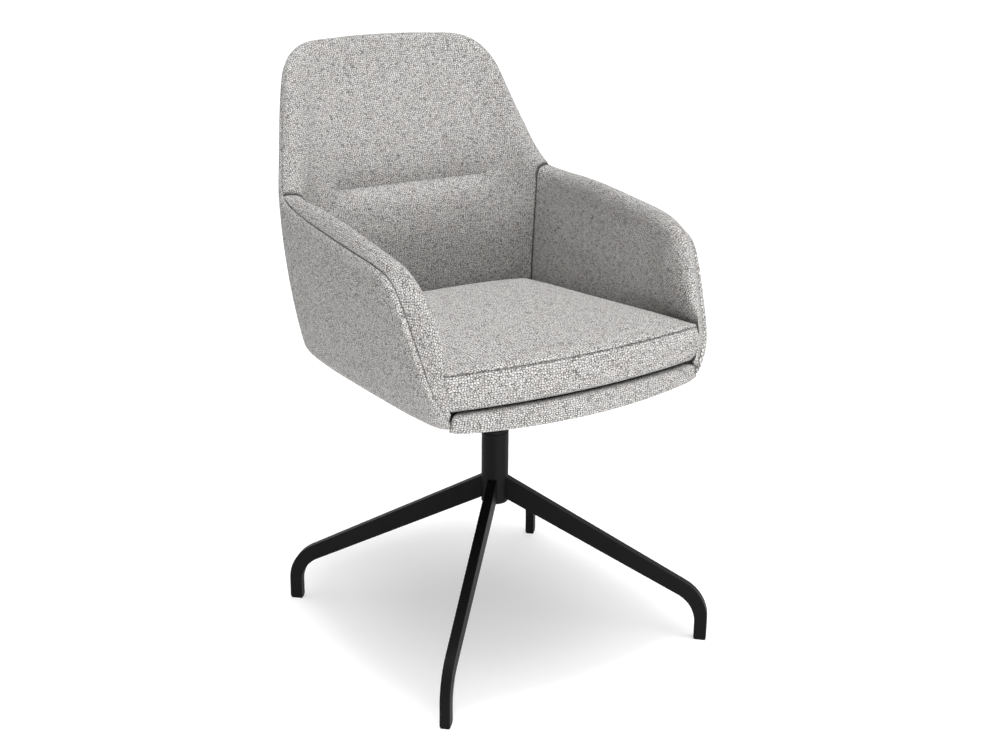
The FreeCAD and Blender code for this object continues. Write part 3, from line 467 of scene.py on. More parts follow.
def add_grid(store, points, uv, seam, wrap=False, ends=False):
    """Add a grid of quads; wrap joins its last column to its first, ends close its two end rows."""
    first = store["count"]
    count_u, count_v = points.shape[:2]
    index = first + np.arange(count_u * count_v).reshape(count_u, count_v)
    store["points"].append(points.reshape(-1, 3))
    store["uv"].append(np.broadcast_to(uv, points.shape[:2] + (2,)).reshape(-1, 2))
    store["seam"].append(np.broadcast_to(seam, points.shape[:2]).reshape(-1))
    store["count"] += count_u * count_v
    columns = np.concatenate([index, index[:, :1]], axis=1) if wrap else index
    quads = np.stack([columns[:-1, :-1], columns[1:, :-1], columns[1:, 1:], columns[:-1, 1:]], axis=-1)
    store["faces"] += quads.reshape(-1, 4).tolist()
    if ends:
        store["faces"] += [index[0].tolist(), index[-1, ::-1].tolist()]
    return index


def new_store():
    return {"points": [], "uv": [], "seam": [], "faces": [], "count": 0}


def add_object(name, data):
    made = bpy.data.objects.new(name, data)
    bpy.context.scene.collection.objects.link(made)
    return made


def make_piece(name, store, weld=0.0):
    """Object from a store of grids, closed and smooth, with its weave map and seam attribute."""
    points = np.concatenate(store["points"])
    mesh = bpy.data.meshes.new(name)
    mesh.from_pydata(points.tolist(), [], store["faces"])
    corner = np.zeros(len(mesh.loops), np.int32)
    mesh.loops.foreach_get("vertex_index", corner)
    uv = np.concatenate(store["uv"])
    layer = mesh.uv_layers.new(name="Weave")
    layer.data.foreach_set("uv", uv[corner].astype(np.float32).ravel())
    seam = mesh.attributes.new("seam", "FLOAT", "POINT")
    seam.data.foreach_set("value", np.concatenate(store["seam"]).astype(np.float32))
    work = bmesh.new()
    work.from_mesh(mesh)
    if weld:
        bmesh.ops.remove_doubles(work, verts=work.verts, dist=weld)
    bmesh.ops.recalc_face_normals(work, faces=work.faces)
    work.to_mesh(mesh)
    work.free()
    mesh.polygons.foreach_set("use_smooth", [True] * len(mesh.polygons))
    mesh.set_sharp_from_angle(angle=math.radians(60))
    piece = bpy.data.objects.new(name, mesh)
    bpy.context.scene.collection.objects.link(piece)
    return piece


def read_map(layer):
    """Places in a UV layer as complex numbers."""
    places = np.zeros(len(layer.data) * 2, np.float32)
    layer.data.foreach_get("uv", places)
    return places[::2] + 1j * places[1::2]


def unfold(piece, wide, seam_column, **method):
    """Unfold a grid's weave map between its first column and its seam, at its real size and as upright."""
    mesh = piece.data
    pairs = np.zeros(len(mesh.edges) * 2, np.int32)
    mesh.edges.foreach_get("vertices", pairs)
    row, column = np.divmod(pairs.reshape(-1, 2), wide)
    last = len(mesh.vertices) // wide - 1
    cut = (column[:, 0] == column[:, 1]) & np.isin(column[:, 0], (0, seam_column))
    cut |= (row[:, 0] == row[:, 1]) & np.isin(row[:, 0], (0, last))
    mesh.edges.foreach_set("use_seam", cut)
    rough = read_map(mesh.uv_layers["Weave"])
    bpy.context.view_layer.objects.active = piece
    bpy.ops.object.mode_set(mode="EDIT")
    bpy.ops.mesh.select_all(action="SELECT")
    bpy.ops.uv.unwrap(margin=0.001, **method)
    bpy.ops.object.mode_set(mode="OBJECT")
    layer = mesh.uv_layers["Weave"]
    flat = read_map(layer)
    shown = np.zeros(len(flat), bool)
    quads = np.arange(last * wide) % wide < seam_column
    shown[:4 * len(quads)] = np.repeat(quads, 4)
    fits = []
    for side in (flat, flat.conj()):
        near, far = side - side[shown].mean(), rough - rough[shown].mean()
        turn = np.sum(near[shown].conj() * far[shown])
        size = np.sqrt(np.sum(abs(far[shown]) ** 2) / np.sum(abs(near[shown]) ** 2))
        fits.append((abs(turn), near * turn / abs(turn) * size))
    best = max(fits, key=lambda fit: fit[0])[1]
    layer.data.foreach_set("uv", np.stack([best.real, best.imag], axis=1).astype(np.float32).ravel())
    return piece


def dress(piece, material, slot_name, *nodes):
    """Give a piece its material and its place on the seat, and hide the nodes that it stands for."""
    piece.data.materials.append(material)
    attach(piece, "seat")
    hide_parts(*nodes)
    return piece


def round_table(knots, at, arm, back):
    """Values in metres round the whole wall, from tables in millimetres for half of it."""
    half = arm + back[1:]
    return spline(knots, half + half[-2::-1], at)[:, None] / 1000


def cover_depth(height, rise, swell, reach):
    """Depth of the outer panel's face: proud of the wall, rolled under at its foot and in at its rim."""
    proud = swell + COVER_FOOT_SWELL / 1000 * bell(rise, COVER_FOOT_REACH)
    foot = np.clip(1 - rise / COVER_ROLL_HEIGHT, 0, 1)
    rim = np.clip(1 - (height - rise) / reach, 0, 1)
    roll = (proud + COVER_ROLL_DEPTH) * (1 - np.sqrt(1 - foot ** 2))
    return roll - proud * np.sqrt(1 - rim ** 2)


def make_cover(wall, knots, at):
    """Outer panel round both sides and the rear, rolled under at the bottom, sewn at the rim."""
    roll_rows, face_rows, band_rows, back_rows = COVER_ROWS
    drop = round_table(knots, at, COVER_DROP, COVER_BACK_DROP)
    height = wall.heights()[:, None] + drop
    low = COVER_ROLL_HEIGHT * (1 - np.cos(np.radians(np.linspace(0, 90, roll_rows))))
    band = np.concatenate([np.linspace(*COVER_BAND, band_rows), rows(SEAM_ROWS[::-1])])
    band = band * np.minimum(1, (height - low[-1]) / COVER_BAND_ROOM)
    middle = low[-1] + (height - band[:, :1] - low[-1]) * np.linspace(0, 1, face_rows)[1:-1]
    outer = np.concatenate([low + 0 * height, middle, height - band], axis=1)
    depth = cover_depth(height, outer, round_table(knots, at, COVER_SWELL, COVER_BACK_SWELL),
                        round_table(knots, at, COVER_REACH, COVER_BACK_REACH))
    depth[:, -len(SEAM_ROWS):] += SEAM_DEPTH * bell(rows(SEAM_ROWS[::-1]), SEAM_WIDTH)
    inner = height * np.linspace(COVER_BACK_TOP, 0, back_rows)
    inner[:, -1] = low[2]
    depth = np.concatenate([depth, np.full(inner.shape, COVER_THICK)], axis=1)
    rise = np.concatenate([outer, inner], axis=1) - drop
    points = wall.at(rise / wall.heights()[:, None], depth)
    run = along(points)
    seam_column = outer.shape[1] - 1
    line = bell(run - run[:, seam_column:seam_column + 1], SEAM_LINE_WIDTH)
    uv = np.stack([row_run(points, len(points) // 2), rise], axis=-1)
    store = new_store()
    add_grid(store, points, uv, line, wrap=True, ends=True)
    return unfold(make_piece("outer_panel", store), points.shape[1], seam_column, method="CONFORMAL")


def crown_ways(wall):
    """Directions square to the rim and along the wall, from neighbouring stations."""
    rim = wall.rim
    count = len(rim)
    spots = np.arange(count)
    run = rim[np.minimum(spots + 1, count - 1)] - rim[np.maximum(spots - 1, 0)]
    return unit(np.cross(wall.outward(np.ones((count, 1)))[:, 0], run))


def crown_points(wall, thick, crown, places, lean):
    """Points over a pad's edge; lean shifts them inward and down by station."""
    out = wall.outward(np.ones((len(wall.rim), 1)))[:, 0]
    ways = crown_ways(wall)
    made = []
    for (inward, rise, drop), (more_in, more_up) in zip(places, ARM_LEAN):
        share = thick * (inward + lean * more_in)
        lift = crown * (rise + lean * more_up) - thick * drop
        made.append(wall.rim + (-out * share[:, None] + ways * lift[:, None]))
    return made


def inner_points(table, column, height, side=1):
    """Points of a pad's inner face, their x and y from two columns of its table."""
    return np.stack([side * table[:, column] * ARM_HALF_WIDTH, table[:, column + 1] * SEAT_HALF_DEPTH,
                     height + 0 * table[:, 0]], axis=1)


def as_offsets(controls, coarse):
    """Control points as offsets from the rim, each end station's brought into its own plane."""
    for place in (0, len(coarse.rim) - 1):
        across = coarse.across(place)
        for control in controls:
            control[place] -= across * ((control[place] - coarse.foot[place]) @ across)
    return [control - coarse.rim for control in controls]


def pad_grid(wall, controls, knots, at, pad_rows, smoothing, fine_mark=None):
    """Inner surface of a pad from its control points, from the seam to the foot, finer at one mark."""
    lines = np.stack([spline(knots, control, at) for control in controls])
    lines = np.concatenate([0 * lines[:1], lines]) + wall.rim
    mean_steps = np.linalg.norm(np.diff(lines, axis=0), axis=2).mean(axis=1)
    marks = np.concatenate([[0], np.cumsum(mean_steps)])
    spots = np.concatenate([rows(SEAM_ROWS), np.linspace(SEAM_ROWS[-1], marks[-1], pad_rows)[1:]])
    if fine_mark is not None:
        near = np.abs(spots - marks[fine_mark]) < PLEAT_FINE
        fine = marks[fine_mark] + np.linspace(-PLEAT_FINE, PLEAT_FINE, PLEAT_ROWS)
        spots = np.sort(np.concatenate([spots[~near], fine]))
    even = np.linspace(0, marks[-1], pad_rows)
    points = spline(even, soften(spline(marks, lines, even), even, smoothing), spots).transpose(1, 0, 2)
    return points, spots - marks[fine_mark or 0]


def soften(lines, run, turns):
    """Round off a pad's sections both ways, except near its seam, its foot and its two ends."""
    free = smooth_step((run - PAD_HELD) / PAD_HELD_REACH)[1:-1, None, None]
    for _ in range(turns):
        lines[1:-1] += ((lines[:-2] + lines[2:]) / 2 - lines[1:-1]) / 2 * free
        lines[1:-1, 1:-1] += ((lines[1:-1, :-2] + lines[1:-1, 2:]) / 2 - lines[1:-1, 1:-1]) / 2 * free
    return lines


def sew(points, run, end_run):
    """Sink a pad's surface at its seam and at both ends, and give the line that shows there."""
    sink, line = (np.maximum(bell(run, width), bell(end_run, width))
                  for width in (SEAM_WIDTH, SEAM_LINE_WIDTH))
    return points - grid_normals(points) * (SEAM_DEPTH * sink)[..., None], line


def close_pad(wall, points, line, back_shares):
    """Add the hidden back of a pad, from its foot up to its seam."""
    low = (PAD_BACK_BOTTOM - SHELL_BOTTOM) / (wall.rim[:, 2] - SHELL_BOTTOM)
    low = np.minimum(low, 0.5)[:, None]
    share = low + (PAD_BACK_TOP - low) * np.linspace(0, 1, PAD_BACK_ROWS)
    nearest = COVER_THICK + PAD_BACK_GAP
    back = wall.at(share, nearest + back_shares[:, None] * (PAD_BACK_DEPTH - nearest))
    closed = np.concatenate([points, back], axis=1)
    run = along(points)
    distance = np.concatenate([run, run[:, -1:] + along(back) + 0.01], axis=1)
    return closed, distance, np.concatenate([line, np.zeros(share.shape)], axis=1)


def clear_cushion(points):
    """Move a right arm pad's surface out to leave the cushion's border a small gap."""
    low = foot_height(points[..., 1])
    share = (points[..., 2] - low) / (seam_height(points[..., 1]) - low)
    outline = cushion_outline(0.0, 24)
    right = outline[outline[:, 0] > 0]
    right = right[np.argsort(right[:, 1])]
    limit = np.interp(points[..., 1], right[:, 1], right[:, 0], left=0, right=0)
    limit = limit - border_inset(share) + CUSHION_GAP
    over = limit - points[..., 0]
    short = (over + np.sqrt(over ** 2 + CUSHION_BLEND ** 2)) / 2
    short = short * smooth_step((1 + CUSHION_CLEAR_FADE - share) / CUSHION_CLEAR_FADE) * (limit > 0.1)
    moved = points.copy()
    moved[..., 0] += short
    return moved


def border_inset(share):
    """Inset of the cushion's border at shares of its height."""
    table = rows(BORDER_PROFILE)
    return np.interp(share, table[:, 0], table[:, 1]) / 1000


def arm_controls(coarse):
    """Control points of the arm pad's sections, as offsets from the rim."""
    table = rows(ARM_PAD)
    thick = table[:, 0] * ARM_PAD_THICK
    controls = crown_points(coarse, thick, table[:, 1] * ARM_CROWN, ARM_CROWN_POINTS, table[:, 5])
    foot = inner_points(table, 2, PAD_INNER_BOTTOM)
    swell = coarse.outward(np.full((len(table), 1), 0.5))[:, 0] * (thick * PAD_SWELL)[:, None]
    controls += [(controls[-1] + foot) / 2 - swell, foot]
    return as_offsets(controls, coarse)


def finish_pad(name, wall, points, line, back_shares, start, side, **method):
    """Piece of a pad from its sewn surface: its hidden back, weave map and ends."""
    closed, distance, line = close_pad(wall, points, line, back_shares)
    uv = np.stack([row_run(closed, start), distance], axis=-1)
    store = new_store()
    add_grid(store, closed * rows([side, 1, 1]), uv, line, wrap=True, ends=True)
    return unfold(make_piece(name, store), closed.shape[1], points.shape[1] - 1, **method)


def end_runs(points):
    """Distance of each point of a grid from the nearer of its two end rows."""
    run = row_run(points, 0)
    return np.minimum(run, run[-1:] - run)


def back_controls(coarse):
    """Control points of the back pad's sections, as offsets from the rim."""
    half = rows(BACK_PAD)
    table = np.concatenate([half, half[-2::-1]])
    side = np.where(np.arange(len(table)) < len(half), 1, -1)
    thick = BACK_EDGE_THICK * table[:, 8]
    controls = crown_points(coarse, thick, table[:, 0] * BACK_CROWN, BACK_CROWN_POINTS, 0 * thick)
    swell = coarse.outward(np.ones((len(table), 1)))[:, 0] * thick[:, None] * PAD_SWELL
    crease = inner_points(table, 5, PLEAT_HEIGHT - table[:, 7] * (PLEAT_HEIGHT - PAD_INNER_BOTTOM), side)
    controls += [(controls[-1] + crease) / 2 - swell, crease]
    controls += [inner_points(table, 3, LUMBAR_HEIGHT, side), inner_points(table, 1, PAD_INNER_BOTTOM, side)]
    return as_offsets(controls, coarse)


def pleat(points, below):
    """Sewn pleat across the backrest: a crease, the padding rounded off on both sides of it, and painted
    shade along the crease.
    """
    across = np.abs(points[..., 0])
    length = smooth_step((PLEAT_HALF + PLEAT_FADE / 2 - across) / PLEAT_FADE)
    reach = np.where(below < 0, PLEAT_REACH_UP, PLEAT_REACH_DOWN)
    crease = PLEAT_DEPTH * np.exp(-np.sqrt(below ** 2 + PLEAT_TIP ** 2) / reach) * length
    swell = LUMBAR_SWELL * bell(below - LUMBAR_PLACE, LUMBAR_REACH)
    swell = swell * smooth_step((PLEAT_HALF + LUMBAR_FADE - across) / LUMBAR_FADE / 2)
    # Painted shade: a dark line along the crease, fading at the pleat's ends
    line = bell(below, SEAM_LINE_WIDTH) * length * PLEAT_PAINTED_SHADE
    return points + grid_normals(points) * (swell - crease)[..., None], line


def arc_through(start, middle, end, count):
    """Points along the level arc through three points, the end left out."""
    (ax, ay), (bx, by), (cx, cy) = start, middle, end
    twice = 2 * (ax * (by - cy) + bx * (cy - ay) + cx * (ay - by))
    a2, b2, c2 = ax * ax + ay * ay, bx * bx + by * by, cx * cx + cy * cy
    ox = (a2 * (by - cy) + b2 * (cy - ay) + c2 * (ay - by)) / twice
    oy = (a2 * (cx - bx) + b2 * (ax - cx) + c2 * (bx - ax)) / twice
    radius = math.hypot(ax - ox, ay - oy)
    turns = np.unwrap([math.atan2(y - oy, x - ox) for x, y in (start, middle, end)])
    sweep = np.linspace(turns[0], turns[2], count, endpoint=False)
    return np.stack([ox + radius * np.cos(sweep), oy + radius * np.sin(sweep)], axis=1)


def cushion_outline(inset, count):
    """Level outline of the cushion from the front's middle round by the right, drawn in by an inset."""
    front_y = inset - CUSHION_FRONT_CENTRE_Y * SEAT_HALF_DEPTH
    rear_y = CUSHION_REAR_CENTRE_Y * SEAT_HALF_DEPTH - inset
    front_half = CUSHION_FRONT_X * ARM_HALF_WIDTH - inset
    rear_half = CUSHION_REAR_X * ARM_HALF_WIDTH - inset
    waist = CUSHION_WAIST_X * ARM_HALF_WIDTH - inset
    front_corner = inset - CUSHION_FRONT_CORNER_Y * SEAT_HALF_DEPTH
    rear_corner = CUSHION_REAR_CORNER_Y * SEAT_HALF_DEPTH - inset
    tuck = CUSHION_CORNER * (1 - math.cos(math.radians(45)))
    right = [
        (front_half - CUSHION_CORNER, front_corner),
        (front_half - tuck, front_corner + tuck),
        (front_half, front_corner + CUSHION_CORNER),
        (waist, (front_corner + rear_corner) / 2),
        (rear_half, rear_corner - CUSHION_CORNER),
        (rear_half - tuck, rear_corner - tuck),
        (rear_half - CUSHION_CORNER, rear_corner),
    ]
    left = [(-x, y) for x, y in reversed(right)]
    loop = right + [(0, rear_y)] + left + [(0, front_y), right[0]]
    return np.concatenate([arc_through(*loop[i:i + 3], count) for i in range(0, len(loop) - 1, 2)])


def sloped(y, front_height, rear_height):
    """Height at a place between the cushion's front and rear."""
    front = -CUSHION_FRONT_CENTRE_Y * SEAT_HALF_DEPTH
    rear = CUSHION_REAR_CENTRE_Y * SEAT_HALF_DEPTH
    return front_height + (rear_height - front_height) * ((y - front) / (rear - front))


def seam_height(y):
    return sloped(y, *CUSHION_SEAM)


def foot_height(y):
    return sloped(y, *CUSHION_FOOT)


def edge_shares(count):
    """Shares of a line's length, finer at both of its ends."""
    fine = rows(EDGE_SHARES)
    middle = np.linspace(fine[-1], 1 - fine[-1], count - 2 * len(fine) + 2)[1:-1]
    return np.concatenate([fine, middle, 1 - fine[::-1]])


def resample(line, shares):
    """Points along a line at shares of its length, both ends kept."""
    run = line_run(line)
    at = run[-1] * shares
    return np.stack([np.interp(at, run, line[:, k]) for k in range(line.shape[1])], axis=1)


def cushion_sides(inset):
    """The outline cut at its four corners: front, right, rear and left, as level lines."""
    line = cushion_outline(inset, CUSHION_ARC_STEPS)
    looped = np.concatenate([line, line])
    across, back = (edge_shares(count) for count in CUSHION_GRID)
    sides = []
    for turn, shares in enumerate((back, across, back, across)):
        start = CUSHION_ARC_STEPS // 2 + 2 * CUSHION_ARC_STEPS * turn
        sides.append(resample(looped[start:start + 2 * CUSHION_ARC_STEPS + 1], shares))
    right, rear, left, front = sides
    return front, right, rear[::-1], left[::-1]


def coons(front, right, rear, left):
    """Grid filled in between four sides: first axis from left to right, second from front to rear."""
    across = edge_shares(len(front))[:, None, None]
    back = edge_shares(len(right))[None, :, None]
    ruled_x = (1 - across) * left[None] + across * right[None]
    ruled_y = (1 - back) * front[:, None] + back * rear[:, None]
    corners = ((1 - across) * (1 - back) * front[0] + across * (1 - back) * front[-1]
               + (1 - across) * back * rear[0] + across * back * rear[-1])
    return ruled_x + ruled_y - corners


def smooth_profile(table, at):
    """Rounded reading of a profile table, which ends level."""
    table = rows(table)
    angle = np.interp(at, table[:, 0], np.arcsin(np.clip(table[:, 1], 0, 1)))
    return np.sin(angle)


def make_cushion():
    """Seat cushion: crowned top, seam, swelling border and a flat foot."""
    front, right, rear, left = cushion_sides(0.0)
    flat = coons(front, right, rear, left)
    deep = np.minimum(np.abs(flat[..., 1] - front[:, None, 1]), np.abs(flat[..., 1] - rear[:, None, 1]))
    wide = np.minimum(np.abs(flat[..., 0] - right[None, :, 0]), np.abs(flat[..., 0] - left[None, :, 0]))
    rise = (smooth_profile(CROWN_PROFILE, deep / CUSHION_REACH)
            * smooth_profile(CROWN_PROFILE, wide / CUSHION_REACH))
    edge = np.minimum(deep, wide)
    height = seam_height(flat[..., 1]) + rise * CUSHION_CROWN - SEAM_DEPTH * bell(edge, SEAM_WIDTH)
    store = new_store()
    add_grid(store, np.concatenate([flat, height[..., None]], axis=-1), flat, bell(edge, SEAM_LINE_WIDTH))
    loops = []
    for share, inset in zip(*border_rows()):
        front, right, rear, left = cushion_sides(inset)
        ring = np.concatenate([front[:-1], right[:-1], rear[:0:-1], left[:0:-1]])
        seam = seam_height(ring[:, 1]) - SEAM_DEPTH
        foot = foot_height(ring[:, 1])
        loops.append(np.column_stack([ring, foot + (seam - foot) * share]))
    border = np.stack(loops)
    run = along(border.transpose(1, 0, 2)).T
    uv = np.stack([np.broadcast_to(line_run(border[0]), run.shape), run], axis=-1)
    add_grid(store, border, uv, bell(run, SEAM_LINE_WIDTH), wrap=True)
    under = coons(front, right, rear, left)
    add_grid(store, np.concatenate([under, foot_height(under[..., 1])[..., None]], axis=-1), under, 0.0)
    return make_piece("cushion", store, weld=WELD)


def border_rows():
    """Shares of the height and insets of the border's rows, from the seam down."""
    shares = np.concatenate([1 - rows(SEAM_ROWS) / BORDER_HEIGHT, np.linspace(0.8, 0, 18)])
    groove = SEAM_DEPTH * bell((1 - shares) * BORDER_HEIGHT, SEAM_WIDTH)
    return shares, np.where(shares < 1, border_inset(shares) + groove, 0.0)


def bow(x, inset):
    """Distance forward of the bowed front at a place across it."""
    half = RAIL_HALF * ARM_HALF_WIDTH
    corner = RAIL_CORNER_Y * SEAT_HALF_DEPTH - inset
    centre = RAIL_CENTRE_Y * SEAT_HALF_DEPTH - inset
    drop = centre - corner
    radius = (half * half + drop * drop) / (2 * drop)
    return -(centre - radius + np.sqrt(radius * radius - x * x))


def rail_section():
    """Depths and heights round the rail's section, from its top edge over its face to its lower edge."""
    turns = np.radians(np.linspace(0, 90, 7))
    lip = RAIL_ROUND * (1 - np.sin(turns))
    roll = RAIL_ROUND * (1 - np.cos(turns))
    face = np.linspace(RAIL_TOP - RAIL_ROUND, RAIL_BOTTOM + RAIL_ROUND, 8)[1:-1]
    back = [RAIL_DEPTH - RAIL_BACK_GAP]
    depths = np.concatenate([back, lip, 0 * face, roll, back])
    heights = np.concatenate([[RAIL_TOP], RAIL_TOP - roll, face, RAIL_BOTTOM + lip, [RAIL_BOTTOM]])
    return np.column_stack([depths, heights])


def make_rail(coarse):
    """Front rail: bowed, its lower face tilted, its ends mitred to the arms."""
    tilt = math.tan(math.radians(RAIL_TILT))
    section = rail_section()
    front = -RAIL_CENTRE_Y * SEAT_HALF_DEPTH
    across = coarse.across(0)
    place = coarse.foot[0] - across * RAIL_GAP

    def row_at(x, inset, height):
        y = bow(x, inset)
        lift = (RAIL_TOP - height) / (RAIL_TOP - RAIL_BOTTOM) * tilt
        return np.stack([x, y, height + (y - front) * lift], axis=-1)

    lines = []
    for inset, height in section:
        low, high = RAIL_END_SEARCH
        for _ in range(40):
            x = (low + high) / 2
            low, high = (x, high) if (row_at(x, inset, height) - place) @ across < 0 else (low, x)
        lines.append(row_at(np.linspace(-low, low, RAIL_COLUMNS), inset, height))
    points = np.stack(lines, axis=1)
    to_end = points[-1:, :, 0] - np.abs(points[..., 0])
    low = np.clip((RAIL_LIFT_TOP - section[:, 1]) / (RAIL_LIFT_TOP - RAIL_BOTTOM), 0, 1)
    points[..., 2] += RAIL_END_LIFT * low * np.clip(1 - to_end / RAIL_END_REACH, 0, 1) ** 2
    run = along(points)
    uv = np.stack([np.broadcast_to(points[:, :1, 0], run.shape), run], axis=-1)
    store = new_store()
    add_grid(store, points, uv, bell(to_end, SEAM_LINE_WIDTH), wrap=True, ends=True)
    return make_piece("rail_cover", store)


def closed_loop(right, count):
    """Evenly spaced closed outline from its right half, which runs from the front's middle to the rear's."""
    right = rows(right)
    line = np.concatenate([right, right[-2:0:-1] * rows([-1, 1]), right[:1]])
    return resample(line, np.linspace(0, 1, count))


def corner_arc(x, y, radius, first, last):
    """Arc of a rounded corner about a centre, between two directions in degrees."""
    turns = np.radians(np.linspace(first, last, 12))
    return np.stack([x + radius * np.cos(turns), y + radius * np.sin(turns)], axis=1)


def bowed_outline(inset, front_half, rear_half, rear_y, corner, count):
    """Outline with the seat's bowed front and two rounded rear corners."""
    across = np.linspace(0, front_half, 50)
    front = np.stack([across, bow(across, inset)], axis=1)
    arc = corner_arc(rear_half - corner, rear_y - corner, corner, 0, 90)
    return closed_loop(np.concatenate([front, arc, [[0, rear_y]]]), count)


def loop_area(loop):
    return abs(np.sum(loop[:-1, 0] * loop[1:, 1] - loop[1:, 0] * loop[:-1, 1])) / 2


def make_deck():
    """Foam sheet on the seat board: flat below, sloping to the rear on top, its edge a little rounded."""
    outline = bowed_outline(DECK_INSET, DECK_FRONT_X * ARM_HALF_WIDTH, DECK_REAR_X * ARM_HALF_WIDTH,
                            DECK_REAR_Y * SEAT_HALF_DEPTH, DECK_CORNER, DECK_COLUMNS + 1)[:-1]
    centre = outline.mean(axis=0)
    flat = np.column_stack([np.linspace(0.02, 0.99, 40), np.ones(40)])
    shares, lift = np.concatenate([flat, rows(DECK_EDGE)]).T
    shares = np.concatenate([shares, shares[::-1]])
    lift = np.concatenate([lift, 1 - lift[::-1]])
    spots = centre + (outline[None] - centre) * shares[:, None, None]
    front, rear = outline[:, 1].min(), outline[:, 1].max()
    top = DECK_TOPS[0] + (DECK_TOPS[1] - DECK_TOPS[0]) * (spots[..., 1] - front) / (rear - front)
    height = DECK_BOTTOM + (top - DECK_BOTTOM) * lift[:, None]
    store = new_store()
    add_grid(store, np.concatenate([spots, height[..., None]], axis=-1), spots, 0.0, wrap=True, ends=True)
    return make_piece("deck_foam", store)


def make_lining():
    """Thin lining under the seat with a square window for the base plate, and its flat area."""
    outer = bowed_outline(LINING_INSET, LINING_X * ARM_HALF_WIDTH, LINING_X * ARM_HALF_WIDTH,
                          LINING_REAR_Y * SEAT_HALF_DEPTH, LINING_CORNER, LINING_COLUMNS + 1)
    middle = WINDOW_HALF - WINDOW_CORNER
    right = np.concatenate([[[0, -WINDOW_HALF]], corner_arc(middle, -middle, WINDOW_CORNER, -90, 0),
                            corner_arc(middle, middle, WINDOW_CORNER, 0, 90), [[0, WINDOW_HALF]]])
    window = closed_loop(right, LINING_COLUMNS + 1)
    share = np.linspace(0, 1, LINING_ROWS)[None, :, None]
    flat = window[:, None] + (outer - window)[:, None] * share
    wave = 0.5 + 0.5 * np.sin(row_run(flat, 0)[:, -1:] * 2 * math.pi / LINING_RIPPLE_PITCH)
    sag = LINING_RIPPLE * wave * np.sin(math.pi * share[..., 0])
    top = np.concatenate([flat, (LINING_TOP - sag)[..., None]], axis=-1)
    points = np.concatenate([top, top[:, ::-1] - rows([0, 0, LINING_THICK])], axis=1)
    store = new_store()
    add_grid(store, points, points[..., :2], 0.0, wrap=True)
    return make_piece("seat_lining", store, weld=WELD), loop_area(outer) - loop_area(window)


def read_points(mesh):
    points = np.zeros(len(mesh.vertices) * 3, np.float32)
    mesh.vertices.foreach_get("co", points)
    return points.reshape(-1, 3).astype(float)


def search_tree(points):
    tree = KDTree(len(points))
    for place, spot in enumerate(points):
        tree.insert(spot, place)
    tree.balance()
    return tree


def held_share(points):
    """1 on the cushion's seams and foot, where the cover is sewn or rests, falling to 0 away from them."""
    to_seam = np.abs(points[:, 2] - seam_height(points[:, 1]))
    outline = cushion_outline(0.0, 40)
    tree = search_tree(np.column_stack([outline, np.zeros(len(outline))]))
    to_edge = rows([tree.find((x, y, 0))[2] for x, y, _ in points])
    from_seam = smooth_step(np.hypot(to_seam, to_edge) / SIM_SEAM_REACH)
    from_foot = smooth_step((points[:, 2] - foot_height(points[:, 1]) - SIM_FOOT_HELD) / SIM_FOOT_REACH)
    return np.maximum(1 - from_seam, 1 - from_foot)


def puff(piece, cap):
    """Let cloth under pressure settle on a coarse copy, and move the piece as it moved, within a cap."""
    scene = bpy.context.scene
    soft = add_object("soft_copy", piece.data.copy())
    remesh = soft.modifiers.new("remesh", "REMESH")
    remesh.mode = "VOXEL"
    remesh.voxel_size = SIM_VOXEL
    mesh = bpy.data.meshes.new_from_object(soft.evaluated_get(bpy.context.evaluated_depsgraph_get()))
    soft.modifiers.clear()
    soft.data = mesh
    start = read_points(mesh)
    group = soft.vertex_groups.new(name="held")
    for place, share in enumerate(held_share(start)):
        group.add([place], float(share), "REPLACE")
    settings = soft.modifiers.new("cloth", "CLOTH").settings
    settings.use_pressure = True
    settings.uniform_pressure_force = SIM_PRESSURE
    settings.vertex_group_mass = "held"
    settings.effector_weights.gravity = 0
    for frame_number in range(1, SIM_FRAMES + 1):
        scene.frame_set(frame_number)
    moved = read_points(soft.evaluated_get(bpy.context.evaluated_depsgraph_get()).data)
    scene.frame_set(1)
    shift = moved - start
    length = np.linalg.norm(shift, axis=1, keepdims=True)
    shift *= np.tanh(length / cap) * cap / np.maximum(length, 1e-9)
    tree = search_tree(start)
    points = read_points(piece.data)
    free = 1 - held_share(points)
    for place, spot in enumerate(points):
        near = tree.find_n(spot, 4)
        weights = rows([1 / (distance + SIM_NEAR) for _, _, distance in near])
        change = sum(shift[other] * weight for (_, other, _), weight in zip(near, weights)) / weights.sum()
        points[place] = spot + change * free[place]
    piece.data.vertices.foreach_set("co", points.astype(np.float32).ravel())
    piece.data.update()
    bpy.data.objects.remove(soft)


def node(tree, kind, inputs=None, **settings):
    """Shader node, its inputs linked where they are given as another node's output."""
    made = tree.nodes.new("ShaderNode" + kind)
    for key, value in settings.items():
        setattr(made, key, value)
    for key, value in (inputs or {}).items():
        if isinstance(value, bpy.types.NodeSocket):
            tree.links.new(value, made.inputs[key])
        else:
            made.inputs[key].default_value = value
    return made


def new_material(name):
    """Material with an empty node tree, and that tree."""
    material = bpy.data.materials.new(name)
    material.use_nodes = True
    material.node_tree.nodes.clear()
    return material, material.node_tree


def finish_material(material, inputs, relief=None):
    """End a material in a shader with these inputs and a relief of height, strength and distance."""
    tree = material.node_tree
    shader = node(tree, "BsdfPrincipled", inputs)
    if relief:
        bump = node(tree, "Bump", dict(zip(("Height", "Strength", "Distance"), relief)))
        tree.links.new(bump.outputs[0], shader.inputs["Normal"])
    node(tree, "OutputMaterial", {"Surface": shader.outputs[0]})
    return material


def maths(tree, operation, *values):
    return node(tree, "Math", dict(enumerate(values)), operation=operation).outputs[0]


def mix_colour(tree, factor, first, second, blend="MIX"):
    return node(tree, "Mix", {0: factor, 6: first, 7: second}, data_type="RGBA", blend_type=blend).outputs[2]


def object_place(tree):
    return node(tree, "TexCoord").outputs["Object"]


